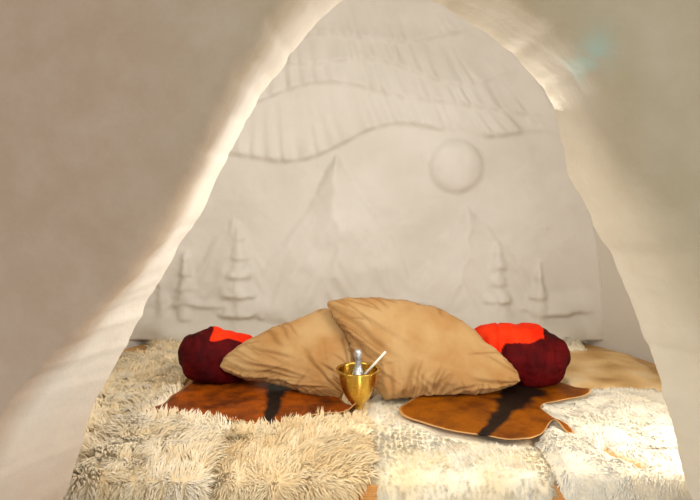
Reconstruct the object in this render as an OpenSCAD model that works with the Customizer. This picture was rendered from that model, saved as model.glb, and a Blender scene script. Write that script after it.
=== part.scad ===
// A sleeping igloo: a domed chamber of packed snow behind a thick front wall with a
// hand-cut arched doorway. A snow bench carries a plank bed heaped with skins, two goat hides,
// two stuffed sleeping bags, two pillows and an ice bucket, under a relief carved in the back wall.
// Millimetres, +Z up. The origin is on the ground at the dome's axis, and the doorway faces -Y.

/* [Snow dome] */
// Inside radius of the dome at the ground
chamber_r = 1850; // [1750:10:2100]
// Inside height of the dome at its crown
chamber_h = 2950; // [2850:10:3300]
// Thickness of the packed snow shell at the ground
shell_t = 400; // [300:10:600]
// Thickness of the packed snow shell at the crown
crown_t = 350; // [250:10:500]
// Roundness of the dome: 2 is an ellipse, and more is squarer at the shoulders
dome_power = 2.4; // [2.2:0.1:2.8]
// Height of the lift joint between the wall ring and the upper shell
ring_top_z = 1200; // [1000:10:1400]
// Height of the lift joint between the upper shell and the crown cap
cap_foot_z = 2250; // [2100:10:2400]
// Diameter of the air vent through the crown
vent_d = 140; // [80:5:250]
// Segments round the wall ring and round the upper shell
shell_segments = 5; // [4:1:6]

/* [Front wall and doorway] */
// Distance from the dome's axis to the inner face of the front wall
front_y = 1090; // [1000:10:1200]
// Thickness of the front wall
front_t = 400; // [250:10:600]
// Height of the doorway's crown
door_h = 2110; // [1950:10:2300]
// Half width of the doorway at the ground, left of its middle
door_left_w = 1190; // [1000:10:1300]
// Half width of the doorway at the ground, right of its middle
door_right_w = 1135; // [1000:10:1300]
// How far the doorway's left flank leans in, as a share of its half width
door_left_lean = 0.84; // [0.60:0.01:0.88]
// How far the doorway's right flank leans in, as a share of its half width
door_right_lean = 0.71; // [0.60:0.01:0.88]
// How much wider the doorway's low part is at the outer face than at the inner face, each side
door_splay = 145; // [40:5:180]
// Height where the doorway's splay has faded out
splay_top_z = 1420; // [1200:10:1600]
// Height of the joint between the piers and the haunches
haunch_z = 1000; // [700:10:1200]
// How far below the doorway's crown the crown block starts
crown_drop = 340; // [250:10:450]

/* [Back wall and relief] */
// Distance from the dome's axis to the carved face of the back wall
back_y = 1150; // [1050:10:1250]
// Depth of the boldest carving, the main peak's ridge
relief_depth = 190; // [120:5:260]
// Depth of the ribbons in the carved sky
ribbon_depth = 70; // [30:5:110]
// Number of ribbons in the carved sky
ribbons = 4; // [3:1:6]
// Diameter of the carved moon
moon_d = 330; // [200:10:380]
// Height of the tallest carved spruce
spruce_h = 720; // [500:10:800]

/* [Bed] */
// Length of the bed, from the back wall to the snow bench's front
bed_len = 1900; // [1800:10:2000]
// Height of the snow bench
bench_h = 405; // [300:5:500]
// Thickness of the plank deck
deck_t = 25; // [18:1:40]
// Thickness of the front boards
board_t = 28; // [18:1:40]
// Height of the front boards
board_h = 200; // [120:5:300]
// Length of each front board
board_len = 1240; // [1000:10:1350]
// Place of the joint between the two front boards, across the bed
board_joint_x = -65; // [-200:5:200]

/* [Bedding] */
// Thickness of the fleeces
fleece_t = 70; // [40:5:100]
// How much the fleeces fall away from their middle to their long edges
fleece_fall = 22; // [10:1:35]
// Thickness of a goat hide
hide_t = 5; // [3:1:8]
// Width of the left goat hide, from leg to leg
hide_left_w = 960; // [800:10:1100]
// Length of the left goat hide
hide_left_len = 800; // [700:10:1000]
// Width of the right goat hide, from leg to leg
hide_right_w = 990; // [800:10:1100]
// Length of the right goat hide
hide_right_len = 940; // [700:10:1050]
// Side of a pillow
pillow_w = 650; // [500:10:700]
// Thickness of a pillow at its middle
pillow_t = 170; // [120:5:200]
// How far the left pillow leans back from upright
left_pillow_lean = 40; // [35:1:55]
// How far the right pillow leans back from upright
right_pillow_lean = 34; // [30:1:50]
// Diameter of the left sleeping bag
bag_left_d = 275; // [220:5:300]
// Length of the left sleeping bag
bag_left_len = 440; // [350:10:500]
// Diameter of the right sleeping bag
bag_right_d = 290; // [220:5:310]
// Length of the right sleeping bag
bag_right_len = 540; // [400:10:600]

/* [Ice bucket] */
// Diameter of the bucket at its mouth, inside
bucket_d = 176; // [150:2:220]
// Height of the bucket
bucket_h = 185; // [160:5:230]
// Thickness of the bucket's brass
bucket_t = 2; // [1.5:0.5:4]
// Width of the rolled rim outside the body
rim_w = 12; // [6:1:18]
// Diameter of the bottle
bottle_d = 66; // [55:1:76]
// Height of the bottle with its foil hood
bottle_h = 250; // [220:5:300]
// Diameter of the taper candle
candle_d = 11; // [8:1:16]
// Length of the taper candle
candle_len = 240; // [200:5:260]

/* [Hidden] */

$fn = 180;
arc_steps = 6;          // steps in each stretch of the dome's profile
clear = 0.3;            // gap between a loose piece and its seat
beyond = 6000;          // a length that reaches past everything
outer_r = chamber_r + shell_t;
outer_h = chamber_h + crown_t;
ring_from = -62;        // angle where the shell's first segment starts, before the front wall trims it
ring_to = 180 - ring_from;
bed_front_y = back_y - bed_len;
deck_z = bench_h + deck_t;
fleece_z = deck_z + clear + fleece_t;
hide_z = fleece_z + clear + hide_t;

// Radius of the dome at height z, for a dome of ground radius r and height h
function dome_r(z, r, h) = r * pow(max(0, 1 - pow(z / h, dome_power)), 1 / dome_power);

// Height of the dome at distance d from its axis
function dome_z(d, r, h) = h * pow(1 - pow(d / r, dome_power), 1 / dome_power);

// Points [radius, height] of the dome's profile from height z0 to height z1
function dome_arc(r, h, z0, z1) =
    let (t0 = asin(pow(z0 / h, dome_power / 2)), t1 = asin(pow(z1 / h, dome_power / 2)))
    [for (i = [0 : arc_steps]) let (t = t0 + (t1 - t0) * i / arc_steps)
        [r * pow(cos(t), 2 / dome_power), h * pow(sin(t), 2 / dome_power)]];

function reversed(list) = [for (i = [len(list) - 1 : -1 : 0]) list[i]];

// The whole inside of the dome as one solid, on the same profile points as the shell's bands
module chamber_space() {
    rotate_extrude()
        polygon(concat(
            [[0, 0]],
            dome_arc(chamber_r, chamber_h, 0, ring_top_z),
            dome_arc(chamber_r, chamber_h, ring_top_z, cap_foot_z),
            dome_arc(chamber_r, chamber_h, cap_foot_z, chamber_h)));
}

// What lies in front of the front wall's inner face
module front_space() {
    translate([-beyond / 2, -front_y - beyond, -1])
        cube([beyond, beyond, beyond]);
}

// One segment of the shell between two heights, number i of shell_segments
module shell_segment(i, z0, z1) {
    sweep = (ring_to - ring_from) / shell_segments;
    color("aliceblue")
        difference() {
            rotate([0, 0, ring_from + sweep * i])
                rotate_extrude(angle = sweep)
                    polygon(concat(dome_arc(outer_r, outer_h, z0, z1),
                        reversed(dome_arc(chamber_r, chamber_h, z0, z1))));
            front_space();
        }
}

module wall_ring(i) {
    shell_segment(i, 0, ring_top_z);
}

module upper_shell(i) {
    shell_segment(i, ring_top_z, cap_foot_z);
}

// The cap that closes the dome, with the air vent left open at its middle
module crown_cap() {
    vent_r = vent_d / 2;
    color("aliceblue")
        difference() {
            rotate_extrude()
                polygon(concat(
                    dome_arc(outer_r, outer_h, cap_foot_z, dome_z(vent_r, outer_r, outer_h)),
                    reversed(dome_arc(chamber_r, chamber_h, cap_foot_z, dome_z(vent_r, chamber_r, chamber_h)))));
            front_space();
        }
}

// Outline of the front wall: the dome's own section where the wall stands
module facade_outline() {
    top = dome_z(front_y, outer_r, outer_h);
    steps = 16;
    side = [for (i = [0 : steps]) let (z = top * sin(90 * i / steps))
        [sqrt(max(0, pow(dome_r(z, outer_r, outer_h), 2) - front_y * front_y)), z]];
    polygon(concat(side, [for (p = reversed(side)) if (p[0] > 1) [-p[0], p[1]]]));
}

// Half width of the doorway at height z, on the side whose half width at the ground is w and
// which leans in by the share lean by the time it reaches the crown
function flank(z, w, lean) =
    w * sqrt(max(0, 1 - pow(z / door_h, 16))) * (1 - lean * pow(z / door_h, 1.3));

// How much of the splay there is at height z: all of it low down, and none above splay_top_z
function splay_share(z) =
    let (low = splay_top_z * 0.6)
    0.5 + 0.5 * cos(180 * min(1, max(0, (z - low) / (splay_top_z - low))));

// Outline of the doorway as points [x, z], drawn out sideways by grow where there is splay
function door_outline(grow) =
    let (steps = 24, rise = [for (i = [0 : steps - 1]) door_h * sin(90 * i / steps)])
    concat(
        [for (z = rise) [flank(z, door_right_w, door_right_lean) + grow * splay_share(z), z]],
        [[0, door_h]],
        [for (z = reversed(rise)) [-flank(z, door_left_w, door_left_lean) - grow * splay_share(z), z]]);

// The space that the doorway takes out of the front wall, wider towards the outside
module doorway() {
    inner = door_outline(0);
    outer = door_outline(door_splay);
    n = len(inner);
    polyhedron(
        points = concat(
            [for (p = inner) [p[0], -front_y + 1, p[1] > 0 ? p[1] : -1]],
            [for (p = outer) [p[0], -front_y - front_t - 1, p[1] > 0 ? p[1] : -1]]),
        faces = concat(
            [[for (i = [0 : n - 1]) i]],
            [[for (i = [n - 1 : -1 : 0]) n + i]],
            [for (i = [0 : n - 1]) each [[(i + 1) % n, i, n + i], [(i + 1) % n, n + i, n + (i + 1) % n]]]));
}

// The part of the front wall between two heights and on one side, or on both for side 0
module front_wall_block(z0, z1, side) {
    color("linen")
        difference() {
            intersection() {
                translate([0, -front_y, 0])
                    rotate([90, 0, 0])
                        linear_extrude(front_t)
                            facade_outline();
                translate([side == 1 ? 0 : -beyond / 2, -beyond / 2, z0])
                    cube([side == 0 ? beyond : beyond / 2, beyond, z1 - z0]);
            }
            doorway();
        }
}

module front_pier(side) {
    front_wall_block(0, haunch_z, side);
}

module front_haunch(side) {
    front_wall_block(haunch_z, door_h - crown_drop, side);
}

module front_crown() {
    front_wall_block(door_h - crown_drop, beyond, 0);
}

// The solid snow behind the carved face
module back_wall() {
    color("white")
        intersection() {
            chamber_space();
            translate([-beyond / 2, back_y, -1])
                cube([beyond, beyond, beyond]);
        }
}

// Half width of the carved face at height z
function back_x(z) = sqrt(max(0, pow(dome_r(z, chamber_r, chamber_h), 2) - back_y * back_y));

relief_foot = fleece_z + 10;
relief_top = dome_z(back_y, chamber_r, chamber_h);
relief_h = relief_top - relief_foot;

// A carved peak: its foot runs from x0 to x1, and its ridge comes forward by depth at the foot
module peak(x0, x1, x_top, z_top, x_ridge, depth) {
    crest = depth * 0.3;
    translate([0, back_y, 0])
        polyhedron(
            points = [[x0, 0, relief_foot], [x1, 0, relief_foot], [x_top, 0, z_top],
                [x_ridge, -depth, relief_foot], [(x_top * 2 + x_ridge) / 3, -crest, z_top - (z_top - relief_foot) / 3],
                [x0 * 0.6 + x_ridge * 0.4, -depth * 0.8, relief_foot], [x1 * 0.6 + x_ridge * 0.4, -depth * 0.8, relief_foot]],
            faces = [[0, 1, 2], [0, 2, 4], [0, 4, 5], [5, 4, 3], [3, 4, 6], [6, 4, 1], [4, 2, 1], [0, 5, 3], [0, 3, 6], [0, 6, 1]]);
}

// The main peak and a lower one each side of it
module peaks() {
    wide = back_x(relief_foot + relief_h * 0.4);
    peak(-wide * 0.62, wide * 0.34, -wide * 0.14, relief_foot + relief_h * 0.55, -wide * 0.05, relief_depth);
    peak(wide * 0.04, wide * 0.88, wide * 0.48, relief_foot + relief_h * 0.40, wide * 0.38, relief_depth * 0.72);
    peak(-wide * 0.93, -wide * 0.30, -wide * 0.60, relief_foot + relief_h * 0.35, -wide * 0.66, relief_depth * 0.6);
}

// A carved spruce of height h: skirts that narrow upwards, cut in half by the wall
module spruce(x, h) {
    skirts = 4;
    translate([x, back_y, relief_foot])
        intersection() {
            union()
                for (i = [0 : skirts - 1])
                    translate([0, 0, h * i / skirts * 0.86])
                        cylinder(h = h * 0.40, r1 = h * 0.20 * (1 - i / skirts * 0.72), r2 = h * 0.012);
            translate([-h, -h, 0])
                cube([2 * h, h, 2 * h]);
        }
}

// Two spruces each side of the peaks, as [place across the wall, share of spruce_h]
module spruces() {
    reach = back_x(relief_foot + spruce_h) - spruce_h * 0.1;
    for (s = [[-0.90, 0.78], [-0.66, 1], [0.70, 0.86], [0.91, 0.62]])
        spruce(s[0] * reach, spruce_h * s[1]);
}

// The drifted bank of snow along the foot of the relief, highest at the wall's two sides
module drift_bank() {
    stations = 16;
    half = back_x(relief_foot + relief_h * 0.12) - 30;
    function section(i) = let (u = i / stations, x = half * (2 * u - 1),
            swell = 0.72 + 0.2 * cos(720 * u) + 0.08 * cos(1800 * u + 40))
        [[x, back_y, relief_foot],
         [x, back_y - relief_depth * 0.95 * swell, relief_foot],
         [x, back_y - relief_depth * 0.42 * swell, relief_foot + relief_h * 0.075 * swell],
         [x, back_y, relief_foot + relief_h * 0.10 * swell]];
    polyhedron(
        points = [for (i = [0 : stations]) each section(i)],
        faces = concat([[3, 2, 1, 0]], [[for (j = [0 : 3]) 4 * stations + j]],
            [for (i = [0 : stations - 1], j = [0 : 3]) each let (a = 4 * i + j, b = 4 * i + (j + 1) % 4)
                [[a, b, b + 4], [a, b + 4, a + 4]]]));
}

// The carved landscape, which is one piece: drifts, peaks and spruces
module relief_landscape() {
    color("white")
        union() {
            drift_bank();
            peaks();
            spruces();
        }
}

// A ribbon of the carved sky, number k from below, which waves across the wall above the peaks
module ribbon(k) {
    stations = 14;
    z_mid = relief_foot + relief_h * (0.69 + 0.26 * k / (ribbons - 1));
    half = back_x(z_mid + relief_h * 0.05) * 0.93;
    band = relief_h * 0.26 / ribbons;
    function path(i) = let (u = i / stations)
        [half * (2 * u - 1), z_mid + relief_h * 0.028 * sin(360 * u * 1.2 + 70 * k) * (1 - 0.6 * k / ribbons)];
    function section(i) = let (p = path(i), fade = sin(180 * (i + 0.6) / (stations + 1.2)))
        [[p[0], back_y, p[1] - band * fade * 0.5],
         [p[0], back_y - ribbon_depth * fade, p[1] - band * fade * 0.25],
         [p[0], back_y, p[1] + band * fade * 0.5]];
    polyhedron(
        points = [for (i = [0 : stations]) each section(i)],
        faces = concat([[2, 1, 0]], [[3 * stations, 3 * stations + 1, 3 * stations + 2]],
            [for (i = [0 : stations - 1], j = [0 : 2])
                [3 * i + j, 3 * i + (j + 1) % 3, 3 * i + 3 + (j + 1) % 3, 3 * i + 3 + j]]));
}

module relief_sky() {
    color("white")
        for (k = [0 : ribbons - 1])
            ribbon(k);
}

// The carved moon: a low dome on the wall, between the lower right peak and the sky
module relief_moon() {
    r = moon_d / 2;
    bulge = moon_d / 5;
    ball_r = (r * r + bulge * bulge) / (2 * bulge);
    z = relief_foot + relief_h * 0.525;
    color("white")
        translate([back_x(z) * 0.45, back_y, z])
            intersection() {
                translate([0, ball_r - bulge, 0])
                    sphere(ball_r);
                translate([-r, -bulge, -r])
                    cube([2 * r, bulge, 2 * r]);
            }
}

// The bench of snow that carries the bed, from wall to wall
module snow_bench() {
    color("aliceblue")
        intersection() {
            chamber_space();
            translate([-beyond / 2, bed_front_y, 0])
                cube([beyond, bed_len, bench_h]);
        }
}

deck_r = dome_r(deck_z, chamber_r, chamber_h) - 25;

module bed_deck() {
    color("burlywood")
        translate([0, 0, bench_h])
            intersection() {
                cylinder(h = deck_t, r = deck_r);
                translate([-beyond / 2, bed_front_y, 0])
                    cube([beyond, bed_len - clear, deck_t]);
            }
}

// A board on the bench's front, from the joint towards -X for side -1 or +X for side 1
module front_board(side) {
    joint_gap = 3;
    x0 = side < 0 ? board_joint_x - board_len - joint_gap / 2 : board_joint_x + joint_gap / 2;
    color("sandybrown")
        translate([x0, bed_front_y - board_t, deck_z - board_h])
            cube([board_len, board_t, board_h]);
}

// Outline of a skin w across and l long, with its four leg lobes drawn out by legs
module skin_outline(w, l, legs) {
    points = 40;
    polygon([for (i = [0 : points - 1]) let (t = 360 * i / points,
            square_up = pow(pow(abs(cos(t)), 4) + pow(abs(sin(t)), 4), -0.25),
            r = square_up * (1 - legs + legs * pow(abs(sin(2 * t)), 3)))
        [w / 2 * r * cos(t), l / 2 * r * sin(t)]]);
}

// A fleece on the deck: a skin with its wool, highest along its middle
module fleece(x0, x1, y0, y1) {
    w = x1 - x0;
    l = y1 - y0;
    across = min(w, l) / 2;
    back_r = (across * across + fleece_fall * fleece_fall) / (2 * fleece_fall);
    translate([(x0 + x1) / 2, (y0 + y1) / 2, deck_z + clear])
        intersection() {
            linear_extrude(fleece_t)
                skin_outline(w, l, 0.07);
            translate([0, 0, fleece_t - back_r])
                rotate([w < l ? 90 : 0, w < l ? 0 : 90, 0])
                    cylinder(h = 2 * max(w, l), r = back_r, center = true, $fn = 180);
        }
}

fleece_gap = 12;

// Half width of the deck at distance y behind the dome's axis
function deck_x(y) = sqrt(deck_r * deck_r - y * y);

// A place on the bed: across as a share of the deck's radius, and back as a share of the bed's length
function on_bed(across, back) = [deck_r * across, bed_front_y + bed_len * back];

bed_front_edge = bed_front_y - board_t - 20;
row_y = on_bed(0, 0.437)[1];
side_y = on_bed(0, 0.805)[1];
front_x = deck_x(bed_front_y) - 200;
front_xs = [-front_x, -front_x * 0.412, -front_x * 0.022, front_x * 0.465, front_x];
side_x = deck_x(side_y) - 80;
middle_x = side_x * 0.615;
back_reach = deck_x(back_y) - 45;

module fleece_front(i) {
    color(i < 2 ? "oldlace" : "floralwhite")
        fleece(front_xs[i] + fleece_gap / 2, front_xs[i + 1] - fleece_gap / 2, bed_front_edge, row_y);
}

module fleece_side(side) {
    color(side < 0 ? "wheat" : "tan")
        fleece(side < 0 ? -side_x : middle_x + fleece_gap, side < 0 ? -middle_x - fleece_gap : side_x,
            row_y + fleece_gap, side_y);
}

module fleece_middle() {
    color("oldlace")
        fleece(-middle_x, middle_x, row_y + fleece_gap, side_y);
}

module fleece_back(side) {
    color("wheat")
        fleece(side < 0 ? -back_reach : fleece_gap / 2, side < 0 ? -fleece_gap / 2 : back_reach,
            side_y + fleece_gap, back_y - fleece_gap);
}

// Outlines of the two goat hides, as shares of their width and length about the middle
left_hide = [[-0.50, -0.34], [-0.36, -0.35], [-0.16, -0.41], [-0.03, -0.48], [0.12, -0.52], [0.26, -0.45],
    [0.38, -0.37], [0.50, -0.36], [0.51, -0.28], [0.43, -0.19], [0.40, 0.15], [0.36, 0.42], [0.13, 0.48],
    [-0.05, 0.46], [-0.31, 0.38], [-0.38, 0.12], [-0.42, -0.22]];
right_hide = [[-0.52, -0.19], [-0.32, -0.38], [-0.16, -0.44], [-0.01, -0.51], [0.04, -0.50], [0.16, -0.32],
    [0.20, -0.41], [0.18, -0.24], [0.16, -0.08], [0.32, -0.02], [0.48, 0.07], [0.39, 0.19], [0.33, 0.35],
    [0.10, 0.46], [-0.15, 0.44], [-0.30, 0.25], [-0.38, 0.03]];

// A closed outline with its corners cut off, at a quarter and at three quarters of each side
function softened(list) = [for (i = [0 : len(list) - 1]) let (a = list[i], b = list[(i + 1) % len(list)])
    each [a * 0.75 + b * 0.25, a * 0.25 + b * 0.75]];

// A short-haired goat hide w wide and l long, laid flat on the fleeces
module goat_hide(at, w, l, outline) {
    color("peru")
        translate([at[0], at[1], fleece_z + clear])
            linear_extrude(hide_t)
                scale([w, l])
                    polygon(softened(softened(outline)));
}

// A stuffed bag of cloth, drawn in at both ends, that has settled on the hide
module sleeping_bag(at, d, l, turn) {
    settle = d * 0.06;
    steps = 12;
    color("maroon")
        translate([at[0], at[1], hide_z + clear + d / 2 - settle])
            rotate([0, 0, turn])
                intersection() {
                    rotate([0, 90, 0])
                        rotate_extrude()
                            polygon(concat([[0, -l / 2]],
                                [for (i = [0 : steps]) let (t = -90 + 180 * i / steps)
                                    [max(0.12 * d, d / 2 * pow(cos(t), 0.5)), l / 2 * sin(t)]],
                                [[0, l / 2]]));
                    translate([-l, -d, -d / 2 + settle])
                        cube([2 * l, 2 * d, 2 * d]);
                }
}

left_pillow = [[-0.98, 0.26], [-0.24, 0.82], [0.05, 0.25], [0.00, 0.02]];
right_pillow = [[-0.37, 0.84], [0.66, 0.67], [1.02, 0.16], [0.00, 0.02]];

// Outline of a slumped square pillow: its four corners [left, top, right, bottom] as points across
// and up its face, for a side of 1, with the sides bowed and the corners rounded
module pillow_outline(corners) {
    points = 48;
    polygon([for (i = [0 : points - 1]) let (t = 360 * i / points,
            r = pow(pow(abs(cos(t)), 7) + pow(abs(sin(t)), 7), -1 / 7),
            a = (1 + r * cos(t)) / 2, b = (1 + r * sin(t)) / 2)
        corners[3] * (1 - a) * (1 - b) + corners[2] * a * (1 - b)
            + corners[1] * a * b + corners[0] * (1 - a) * b]);
}

// A pillow whose bottom corner is at a place on the bed, and which leans back and is turned. It is
// thickest at its middle, and flat where it rests on the hides
module pillow(at, lean, turn, corners) {
    layers = 5;
    middle = (corners[0] + corners[1] + corners[2] + corners[3]) / 4;
    color("burlywood")
        intersection() {
            translate([at[0], at[1], hide_z - pillow_t * 0.14])
                rotate([90 - lean, 0, turn])
                    hull()
                        for (i = [-layers : layers]) {
                            a = 90 * i / (layers + 0.4);
                            translate([0, 0, pillow_t / 2 * sin(a)])
                                linear_extrude(0.1)
                                    translate(middle * pillow_w)
                                        scale(pow(cos(a), 0.55) * pillow_w)
                                            translate(-middle)
                                                pillow_outline(corners);
                        }
            translate([-beyond / 2, -beyond / 2, hide_z + clear])
                cube(beyond);
        }
}

// Outside radius of the bucket's body at height z, and the height where the body has radius r
function bucket_r(z) = (bucket_d / 2 + bucket_t) * pow(1 - pow(1 - z / bucket_h, 2), 0.75);
function bucket_z(r) = bucket_h * (1 - sqrt(1 - pow(r / (bucket_d / 2 + bucket_t), 4 / 3)));

bucket_x = on_bed(-0.035, 0)[0];
bucket_y = on_bed(0, 0.29)[1];
bucket_foot_r = 24;
foot_h = 8;

// Profile points of the bucket's body, inset by t
function bucket_side(t) = [for (i = [1 : 12]) let (z = foot_h + (bucket_h - foot_h) * i / 12)
    [bucket_r(z) - t, z]];

// The egg-shaped bucket with its foot ring and rolled rim
module ice_bucket() {
    color("goldenrod")
        translate([bucket_x, bucket_y, hide_z + clear])
            rotate_extrude()
                difference() {
                    union() {
                        polygon(concat([[0, foot_h]], [[bucket_foot_r, foot_h]], bucket_side(0), [[0, bucket_h]]));
                        square([bucket_foot_r, foot_h]);
                        translate([bucket_d / 2 + bucket_t, bucket_h - rim_w / 3])
                            scale([3, 1])
                                circle(rim_w / 3, $fn = 24);
                    }
                    polygon(concat([[0, foot_h + bucket_t], [bucket_foot_r - bucket_t, foot_h + bucket_t]],
                        [for (p = bucket_side(bucket_t)) if (p[1] > foot_h + bucket_t) p],
                        [[bucket_r(bucket_h) - bucket_t, bucket_h + 1], [0, bucket_h + 1]]));
                }
}

// A half bottle with a foil hood over its cork, which stands in the bucket where the bucket narrows
// to the bottle's own width
module bottle() {
    r = bottle_d / 2;
    heel = 4;
    seat_z = bucket_z(r + bucket_t + 2 * clear) - heel;
    neck_r = 14;
    hood_r = 17.5;
    color("silver")
        translate([bucket_x, bucket_y, hide_z + clear + seat_z])
            rotate_extrude($fn = 64)
                polygon(concat(
                    [[0, 0], [r - heel, 0], [r, heel], [r, bottle_h * 0.42]],
                    [for (i = [0 : 8]) let (u = i / 8)
                        [neck_r + (r - neck_r) * (1 + cos(180 * u)) / 2, bottle_h * (0.44 + 0.3 * u)]],
                    [[neck_r, bottle_h * 0.82], [hood_r, bottle_h * 0.86], [hood_r, bottle_h * 0.93],
                        [hood_r * 0.7, bottle_h * 0.985], [0, bottle_h]]));
}

// A white taper candle that stands in the bucket behind the bottle: its foot is against the
// wall on the left, foot_up above the bucket's base, and it leans on the rim on the right
module candle() {
    r = candle_d / 2;
    foot_up = bucket_h * 0.38;
    behind = bottle_d / 2 + r + 6;
    reach = behind + r * 0.71;
    foot_x = sqrt(pow(bucket_r(foot_up) - bucket_t - clear, 2) - reach * reach) - r / 2;
    rim_x = sqrt(pow(bucket_d / 2 - clear, 2) - reach * reach) - r;
    lean = atan2(foot_x + rim_x, bucket_h - foot_up);
    color("ivory")
        translate([bucket_x - foot_x, bucket_y + behind, hide_z + clear + foot_up])
            rotate([0, lean, 0])
                cylinder(h = candle_len, r = r, $fn = 32);
}

front_pier(-1);  // front_pier_left
front_pier(1);  // front_pier_right
front_haunch(-1);  // front_haunch_left
front_haunch(1);  // front_haunch_right
front_crown();
wall_ring(0);  // wall_ring_1
wall_ring(1);  // wall_ring_2
wall_ring(2);  // wall_ring_3
wall_ring(3);  // wall_ring_4
wall_ring(4);  // wall_ring_5
upper_shell(0);  // upper_shell_1
upper_shell(1);  // upper_shell_2
upper_shell(2);  // upper_shell_3
upper_shell(3);  // upper_shell_4
upper_shell(4);  // upper_shell_5
crown_cap();
back_wall();
relief_landscape();
relief_sky();
relief_moon();
snow_bench();
bed_deck();
front_board(-1);  // front_board_left
front_board(1);  // front_board_right
fleece_front(0);  // fleece_front_left
fleece_front(1);  // fleece_front_mid_left
fleece_front(2);  // fleece_front_mid_right
fleece_front(3);  // fleece_front_right
fleece_side(-1);  // fleece_side_left
fleece_side(1);  // calfskin_side_right
fleece_middle();
fleece_back(-1);  // fleece_back_left
fleece_back(1);  // fleece_back_right
goat_hide(on_bed(-0.303, 0.41), hide_left_w, hide_left_len, left_hide);  // goat_hide_left
goat_hide(on_bed(0.33, 0.353), hide_right_w, hide_right_len, right_hide);  // goat_hide_right
sleeping_bag(on_bed(-0.44, 0.521), bag_left_d, bag_left_len, 20);  // sleeping_bag_left
sleeping_bag(on_bed(0.405, 0.521), bag_right_d, bag_right_len, -18);  // sleeping_bag_right
pillow(on_bed(-0.07, 0.35), left_pillow_lean, -5, left_pillow);  // pillow_left
pillow(on_bed(0.034, 0.332), right_pillow_lean, 6, right_pillow);  // pillow_right
ice_bucket();
bottle();
candle();
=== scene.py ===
# A sleeping igloo of packed snow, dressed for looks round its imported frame.
# Metres, +Z up, and the doorway faces -Y.
import math

import bmesh
import bpy
import numpy as np
from mathutils import Matrix, Vector


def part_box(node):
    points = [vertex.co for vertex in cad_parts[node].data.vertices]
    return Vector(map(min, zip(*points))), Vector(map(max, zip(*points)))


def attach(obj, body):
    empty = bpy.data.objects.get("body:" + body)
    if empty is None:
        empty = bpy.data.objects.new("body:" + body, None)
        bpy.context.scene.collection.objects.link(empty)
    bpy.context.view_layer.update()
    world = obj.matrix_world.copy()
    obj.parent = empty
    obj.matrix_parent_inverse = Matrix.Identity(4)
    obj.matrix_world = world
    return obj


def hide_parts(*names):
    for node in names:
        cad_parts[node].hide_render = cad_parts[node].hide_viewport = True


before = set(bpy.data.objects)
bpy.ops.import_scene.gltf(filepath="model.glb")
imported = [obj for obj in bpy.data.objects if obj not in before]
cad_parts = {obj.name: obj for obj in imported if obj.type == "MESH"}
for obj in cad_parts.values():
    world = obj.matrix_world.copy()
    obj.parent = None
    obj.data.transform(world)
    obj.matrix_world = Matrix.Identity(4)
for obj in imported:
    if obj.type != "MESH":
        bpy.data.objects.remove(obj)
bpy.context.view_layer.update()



def put(name, data):
    # a new object in the scene
    obj = bpy.data.objects.new(name, data)
    bpy.context.scene.collection.objects.link(obj)
    return obj


# Camera at the photographed angle
lens = bpy.data.cameras.new("camera")
lens.lens = 35
lens.sensor_width = 36
camera = put("camera", lens)
camera.location = (-0.10, -3.14, 1.64)
camera.rotation_euler = (math.radians(82), 0, 0)
bpy.context.scene.camera = camera

# Sizes shared with the CAD source, in metres
DOME_POWER = 2.4
CHAMBER_R, CHAMBER_H = 1.85, 2.95
OUTER_R, OUTER_H = 2.25, 3.30
VENT_R = 0.07
FRONT_Y, FRONT_T = 1.09, 0.40
BACK_Y = 1.15
DECK_Z = 0.430
HIDE_Z = 0.5056
BED_FRONT_Y = -0.75
BOARD_FACE_Y = BED_FRONT_Y - 0.028
# What lies on the hides starts this high
BEDDING_Z = HIDE_Z + 0.001


def linear(code):
    parts = [int(code[i:i + 2], 16) / 255 for i in (0, 2, 4)]
    return tuple(c / 12.92 if c <= 0.04045 else ((c + 0.055) / 1.055) ** 2.4 for c in parts) + (1.0,)


def feed(node, inputs):
    # sets or links a node's inputs; another node gives its first output in use, a hex code its colour
    for socket, value in inputs.items():
        if isinstance(value, bpy.types.Node):
            value = next(out for out in value.outputs if out.enabled)
        if isinstance(value, bpy.types.NodeSocket):
            node.id_data.links.new(value, node.inputs[socket])
        else:
            node.inputs[socket].default_value = linear(value) if isinstance(value, str) else value


def add(tree, kind, inputs=None, **settings):
    node = tree.nodes.new("ShaderNode" + kind)
    for key, value in settings.items():
        setattr(node, key, value)
    feed(node, inputs or {})
    return node


def blank(name, **constants):
    # a material with a plain shader, its constants set on the shader's own sockets
    made = bpy.data.materials.new(name)
    made.use_nodes = True
    tree = made.node_tree
    shader = tree.nodes["Principled BSDF"]
    feed(shader, {socket.replace("_", " "): value for socket, value in constants.items()})
    return made, tree, shader


# Whole numbers that stir a cell's place into its random value
CELL_PRIMES = (73856093, 19349663, 83492791)
STIR = ((13, 1274126177), (15, 668265263))
WORD = 0xffffffff


def lumps(p, size, seed=0):
    # smooth random values from -1 to 1 at the points p, in lumps of a size in metres
    q = np.asarray(p, dtype=float) / size
    cell = np.floor(q).astype(np.int64)
    near = ease(q - cell)
    total = np.zeros(len(q))
    for corner in np.ndindex(2, 2, 2):
        h = seed * 40503 + 977
        for axis, prime in enumerate(CELL_PRIMES):
            h = h ^ (cell[:, axis] + corner[axis]) * prime
        h = h & WORD
        for shift, factor in STIR:
            h = ((h ^ (h >> shift)) * factor) & WORD
        value = ((h >> 8) & 0xffff) / 32767.5 - 1
        for axis, far in enumerate(corner):
            value = value * (near[:, axis] if far else 1 - near[:, axis])
        total += value
    return total


def rough(p, seed, *layers, level=0):
    # lumps of several sizes on a level, each layer with its height and its size in metres
    return sum((height * lumps(p, size, seed + k) for k, (height, size) in enumerate(layers)), level)


def flat_points(x, y):
    return np.stack([x, y, np.zeros_like(x)], axis=1)


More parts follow.
